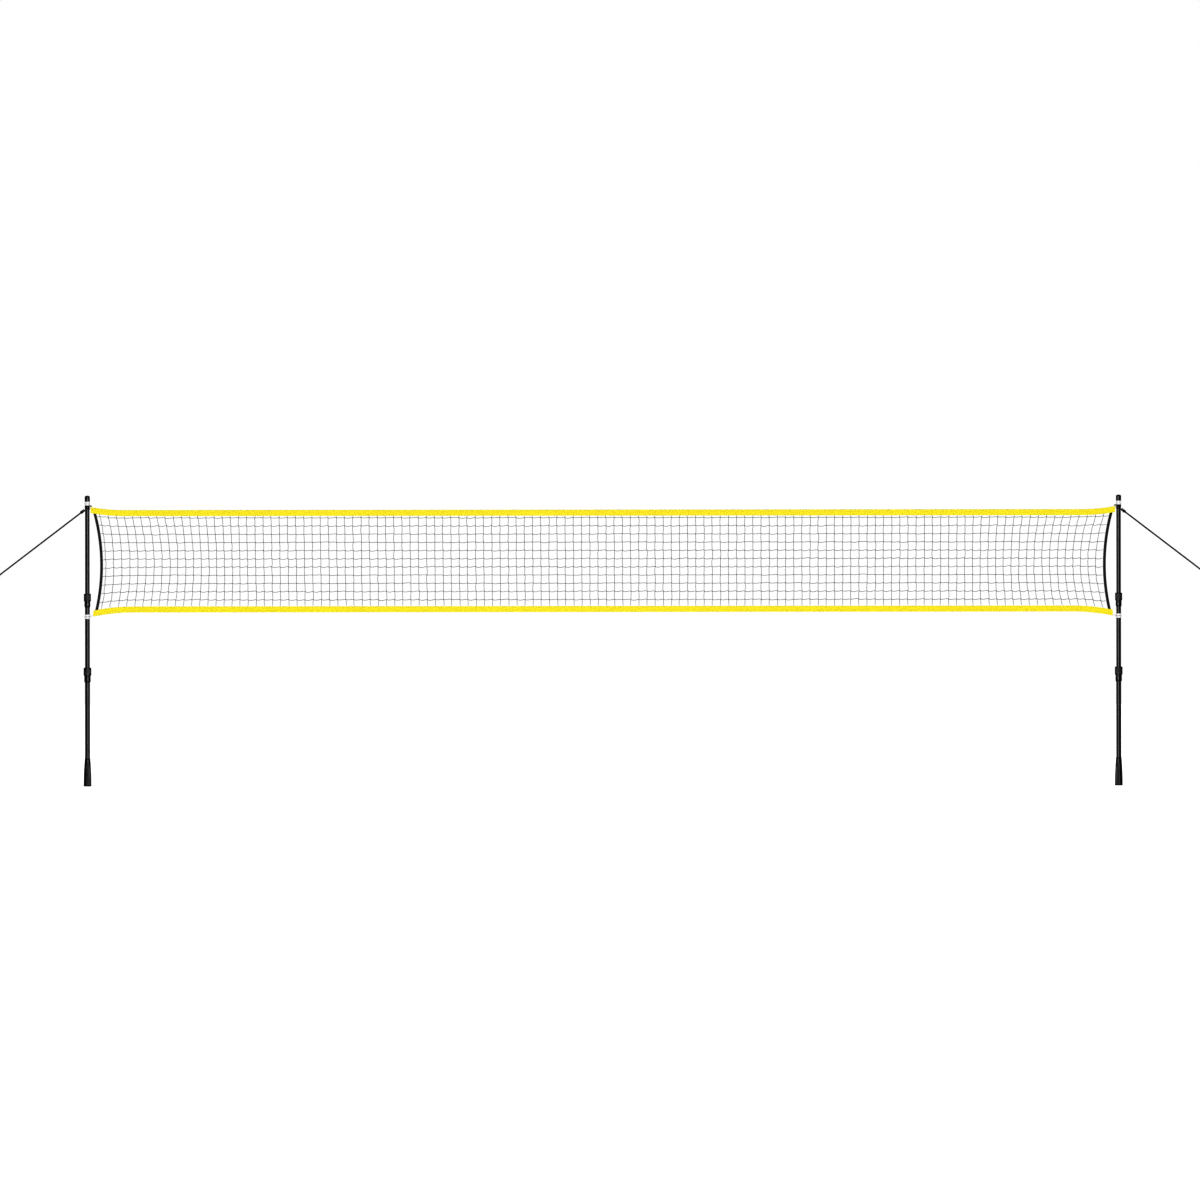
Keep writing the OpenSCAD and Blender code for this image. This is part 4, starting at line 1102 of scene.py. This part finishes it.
def bandFrame(side, t):
    reach = sideBand["slopeReach"]
    ahead = (bandMiddle(side, min(1, t + reach)) - bandMiddle(side, max(0, t - reach))).normalized()
    return ahead, Vector((0, 1, 0)).cross(ahead)


def makeSideBand(side):
    steps, half = sideBand["steps"], span["bandWidth"] / 2
    ts = sorted([i / steps for i in range(steps + 1)] + list(sideBand["endSteps"]))
    path = [bandMiddle(side, t) for t in ts]
    frames = [(bandFrame(side, t)[1], Vector((0, 1, 0))) for t in ts]
    length = (path[0] - path[-1]).length
    thick, edge, pressed = sideBand["thick"] / 2, sideBand["round"], sideBand["pressed"]
    line, (grooveHalf, groove) = half - sideBand["stitchInset"], sideBand["groove"]
    cut = edge * sideBand["corner"]
    corner = [(half, thick - edge), (half - cut, thick - cut), (half - edge, thick)]
    face = [(line + grooveHalf, thick), (line, thick - groove), (line - grooveHalf, thick),
            (0, thick + sideBand["bulge"])]
    quarter = corner + face
    top = quarter + [(-a, b) for a, b in reversed(quarter[:-1])]
    outline = top + [(-a, -b) for a, b in top]

    def outlineAt(i, k):
        a, b = outline[k]
        left = min(ts[i], 1 - ts[i]) * length
        free = min(1, max(0, left / sideBand["tuck"] - sideBand["pressedTo"]))
        return a, b * (pressed + (1 - pressed) * free)

    bm = sweep(path, outlineAt, len(outline), frames=frames)
    finishPiece(bm, f"{side}_webbing", "blackWebbing", [f"{side}_side_band"],
                crease=45)
    stitches = bmesh.new()
    count = int(length / sideBand["stitchPitch"])
    bareFoot, bareTop = sideBand["bareStitches"]
    for offset in (-line, line):
        for front in (-1, 1):
            spots = []
            for i in range(bareFoot, count - bareTop):
                ahead, across = bandFrame(side, i / count)
                outward = Vector((0, front * (thick - sideBand["sunk"]), 0))
                spots.append((bandMiddle(side, i / count) + across * offset + outward, ahead,
                              Vector((0, front, 0))))
            stitchRow(stitches, spots, sideBand["stitch"])
    bmesh.ops.recalc_face_normals(stitches, faces=stitches.faces)
    finishPiece(stitches, f"{side}_webbing_stitches", "blackThread",
                body=bodyOf[f"{side}_side_band"], crease=30)


for side in sides:
    makeSideBand(side)
print("side bands made")


netting = {
    "uprights": 124, "rows": 11, "firstRow": 0.0173, "rowPitch": 0.07213, "twine": 0.0040,
    "knot": (0.0047, 0.0037, 0.0032), "knotTurn": (45, 14), "knotSpread": (0.88, 1.12),
    # gaps from the poles to the last uprights, and how those bow with their neighbours
    "leftTop": 0.1073, "leftFoot": 0.1262, "rightTop": 0.1275, "rightFoot": 0.1364,
    "leftBow": 0.0445, "leftReach": 1.290, "rightBow": 0.069, "rightReach": 1.270,
    "jitter": 0.0016, "jitterDepth": 0.6, "slack": 0.0017, "tuck": 0.007, "sewnIn": 0.005,
    # a mesh side's wave: share of the way, share of the wave and share of the slack
    "sag": ((0.14, -0.62, 0.5), (0.38, -0.82, 1.0), (0.64, 0.0, 1.0), (0.86, 0.85, 0.5)),
    "rowWave": 0.0042, "rowWaves": (0.5, 1.0, 0.45, 0.4, 0.9, 1.0, 1.0, 0.3, 0.45, 1.0, 0.8),
    "columnWave": 0.0012, "endRadii": (0.4, 0.6, 0.9),
}
meshHeight = span["height"] - 2 * span["tape"]


def uprightX(k, v):
    last = netting["uprights"] - 1
    top = -poleX + netting["leftTop"], poleX - netting["rightTop"]
    foot = -poleX + netting["leftFoot"], poleX - netting["rightFoot"]
    ends = [foot[i] + (top[i] - foot[i]) * v for i in (0, 1)]
    x = ends[0] + (ends[1] - ends[0]) * k / last
    fromLeft = min(1, (x - ends[0]) / netting["leftReach"])
    fromRight = min(1, (ends[1] - x) / netting["rightReach"])
    bow = netting["leftBow"] * (1 - fromLeft ** 2) - netting["rightBow"] * (1 - fromRight)
    return x + bow * 4 * v * (1 - v)


def meshPlace(x, v):
    low, high = bottomEdgeZ(x) + span["tape"], topEdgeZ(x) - span["tape"]
    top, foot = [ripple(x, tapeEdge[name]["shift"]) for name in ("top_tape", "bottom_tape")]
    return Vector((x, top * v + foot * (1 - v), low + (high - low) * v))


def wander(amount):
    return Vector((random.uniform(-amount, amount),
                   netting["jitterDepth"] * random.uniform(-amount, amount),
                   random.uniform(-amount, amount)))


def cellPoints(a, b, wave):
    # a mesh side leaves its knot low, comes to the next one high, and hangs a little slack
    across = (b - a).cross(Vector((0, 1, 0))).normalized()
    slack = netting["slack"]
    pull = across * random.gauss(0, slack) + Vector((0, random.gauss(0, slack), 0))
    return [a] + [a.lerp(b, t) + across * wave * rise + pull * share
                  for t, rise, share in netting["sag"]]


def addTwine(curve, knots, wave):
    points = [p for a, b in zip(knots, knots[1:]) for p in cellPoints(a, b, wave)] + [knots[-1]]
    line = curve.splines.new("POLY")
    line.points.add(len(points) - 1)
    for i in (1, 2):  # straight into the cloth that holds it
        points[i].y, points[-1 - i].y = points[0].y, points[-1].y
    for spot, p in zip(line.points, points):
        spot.co = (*p, 1)
    for i, thin in enumerate(netting["endRadii"]):
        line.points[i].radius = line.points[-1 - i].radius = thin


def makeNetting():
    levels = [1 - (netting["firstRow"] + netting["rowPitch"] * j) / meshHeight
              for j in range(netting["rows"])]
    tuck = netting["tuck"] / meshHeight
    knots = [[meshPlace(uprightX(k, v), v) + wander(netting["jitter"]) for v in levels]
             for k in range(netting["uprights"])]
    curve = bpy.data.curves.new("twine", "CURVE")
    curve.dimensions = "3D"
    curve.bevel_depth = netting["twine"] / 2
    curve.bevel_resolution = 1
    curve.use_fill_caps = True
    for k, column in enumerate(knots):
        top, foot = meshPlace(uprightX(k, 1), 1 + tuck), meshPlace(uprightX(k, 0), -tuck)
        addTwine(curve, [top] + column + [foot], netting["columnWave"] * random.uniform(-1, 1))
    for j in range(netting["rows"]):
        row = [column[j] for column in knots]
        ends = bandPoint("left", row[0].z), bandPoint("right", row[-1].z)
        addTwine(curve, [ends[0]] + row + [ends[1]], netting["rowWave"] * netting["rowWaves"][j])
    holder = bpy.data.objects.new("twine", curve)
    scene.collection.objects.link(holder)
    bpy.context.view_layer.update()
    depsgraph = bpy.context.evaluated_depsgraph_get()
    mesh = bpy.data.meshes.new_from_object(holder.evaluated_get(depsgraph))
    bpy.data.objects.remove(holder)
    bm = bmesh.new()
    bm.from_mesh(mesh)
    bpy.data.meshes.remove(mesh)
    bmesh.ops.remove_doubles(bm, verts=bm.verts, dist=1e-6)
    bmesh.ops.recalc_face_normals(bm, faces=bm.faces)
    finishPiece(bm, "net_twine", "netTwine", ["net"], crease=80)
    return knots


def bandPoint(side, z):
    # a row of twine is sewn into the inner edge of the side band
    foot, top = bandMiddle(side, 0), bandMiddle(side, 1)
    t = (z - foot.z) / (top.z - foot.z)
    inward = sides[side] * (span["bandWidth"] / 2 - netting["sewnIn"])
    return bandMiddle(side, t) - Vector((inward, 0, 0))


def makeKnots(knots):
    bm = bmesh.new()
    angle, spread = netting["knotTurn"]
    for column in knots:
        few = bmesh.new()
        for spot in column:
            turn = Matrix.Rotation(math.radians(angle + random.uniform(-spread, spread)), 4, "Y")
            size = [s * random.uniform(*netting["knotSpread"]) for s in netting["knot"]]
            stretch = Matrix.Diagonal((*size, 1))
            bmesh.ops.create_uvsphere(few, u_segments=8, v_segments=4, radius=1,
                                      matrix=Matrix.Translation(spot) @ turn @ stretch)
        joinInto(bm, few)
    return finishPiece(bm, "net_knots", "netTwine", body=bodyOf["net"], crease=80)


makeKnots(makeNetting())
print("netting made")


# these solids keep their shapes
kept = {"lower_tube": "tubePaint", "middle_tube": "tubePaint", "top_tube": "tubePaint",
        "middle_bush": "bushRubber", "top_bush": "bushRubber", "lower_collet": "colletPlastic",
        "upper_collet": "colletPlastic"}
for side in sides:
    for part, material in kept.items():
        for spot in frame["nodes"][f"{side}_{part}"].material_slots:
            spot.material = finish[material]
print("solids finished")


studio = {
    "floorSize": 90, "floorShade": 0.86, "floorCloud": 1.02, "floorGlow": 0.50,
    "skyShown": 1.0, "skyFill": 0.40, "skyGloss": 0.06,
    # each sun's strength and tilt
    "suns": {"frontFill": (1.6, 55), "backFill": (1.3, -62)}, "sunAngle": 30,
    "key": 2300, "keySize": (6.0, 6.0), "keyPlace": (0.0, -11.0, 2.0),
}


def makeFloor():
    bm = bmesh.new()
    bmesh.ops.create_grid(bm, x_segments=4, y_segments=4, size=studio["floorSize"] / 2)
    mesh = bpy.data.meshes.new("floor")
    bm.to_mesh(mesh)
    bm.free()
    floor = bpy.data.objects.new("floor", mesh)
    scene.collection.objects.link(floor)
    tree, shader = newMaterial("paleFloor", Roughness=0.9, Specular_IOR_Level=0.1,
                               Emission_Strength=studio["floorGlow"])
    place = addNode(tree, "ShaderNodeTexCoord").outputs["Object"]
    cloud = addNode(tree, "ShaderNodeTexNoise", {"Vector": place, "Scale": 0.4}).outputs["Fac"]
    shade = studio["floorShade"]
    pale = shade * studio["floorCloud"]
    colour = mixColour(tree, cloud, rgb(shade, shade, shade), rgb(pale, pale, pale))
    fillInputs(tree, shader, {"Base Color": colour, "Emission Color": rgb(1, 1, 1)})
    mesh.materials.append(finish["paleFloor"])
    floor.visible_glossy = False  # keeps the black paint black


def makeLights():
    world = bpy.data.worlds.new("studio")
    scene.world = world
    world.use_nodes = True
    tree = world.node_tree
    tree.nodes.clear()
    shown, fill, gloss = [
        addNode(tree, "ShaderNodeBackground", {"Color": rgb(1, 1, 1), "Strength": studio[strength]})
        for strength in ("skyShown", "skyFill", "skyGloss")]
    ray = addNode(tree, "ShaderNodeLightPath").outputs
    lit = addNode(tree, "ShaderNodeMixShader",
                  {0: ray["Is Glossy Ray"], 1: fill.outputs[0], 2: gloss.outputs[0]})
    mixed = addNode(tree, "ShaderNodeMixShader",
                    {0: ray["Is Camera Ray"], 1: lit.outputs[0], 2: shown.outputs[0]})
    output = addNode(tree, "ShaderNodeOutputWorld")
    tree.links.new(mixed.outputs[0], output.inputs[0])
    for name, (strength, tilt) in studio["suns"].items():
        sun = bpy.data.lights.new(name, "SUN")
        sun.energy = strength
        sun.angle = math.radians(studio["sunAngle"])
        sunHolder = bpy.data.objects.new(name, sun)
        sunHolder.rotation_euler = (math.radians(tilt), 0, 0)
        sunHolder.visible_glossy = False
        scene.collection.objects.link(sunHolder)
    key = bpy.data.lights.new("softKey", "AREA")
    key.energy = studio["key"]
    key.shape = "RECTANGLE"
    key.size, key.size_y = studio["keySize"]
    keyHolder = bpy.data.objects.new("softKey", key)
    keyHolder.location = studio["keyPlace"]
    keyHolder.rotation_euler = (math.radians(90), 0, 0)
    keyHolder.visible_diffuse = False  # it only draws the highlights
    scene.collection.objects.link(keyHolder)


makeFloor()
makeLights()
print("studio lit")
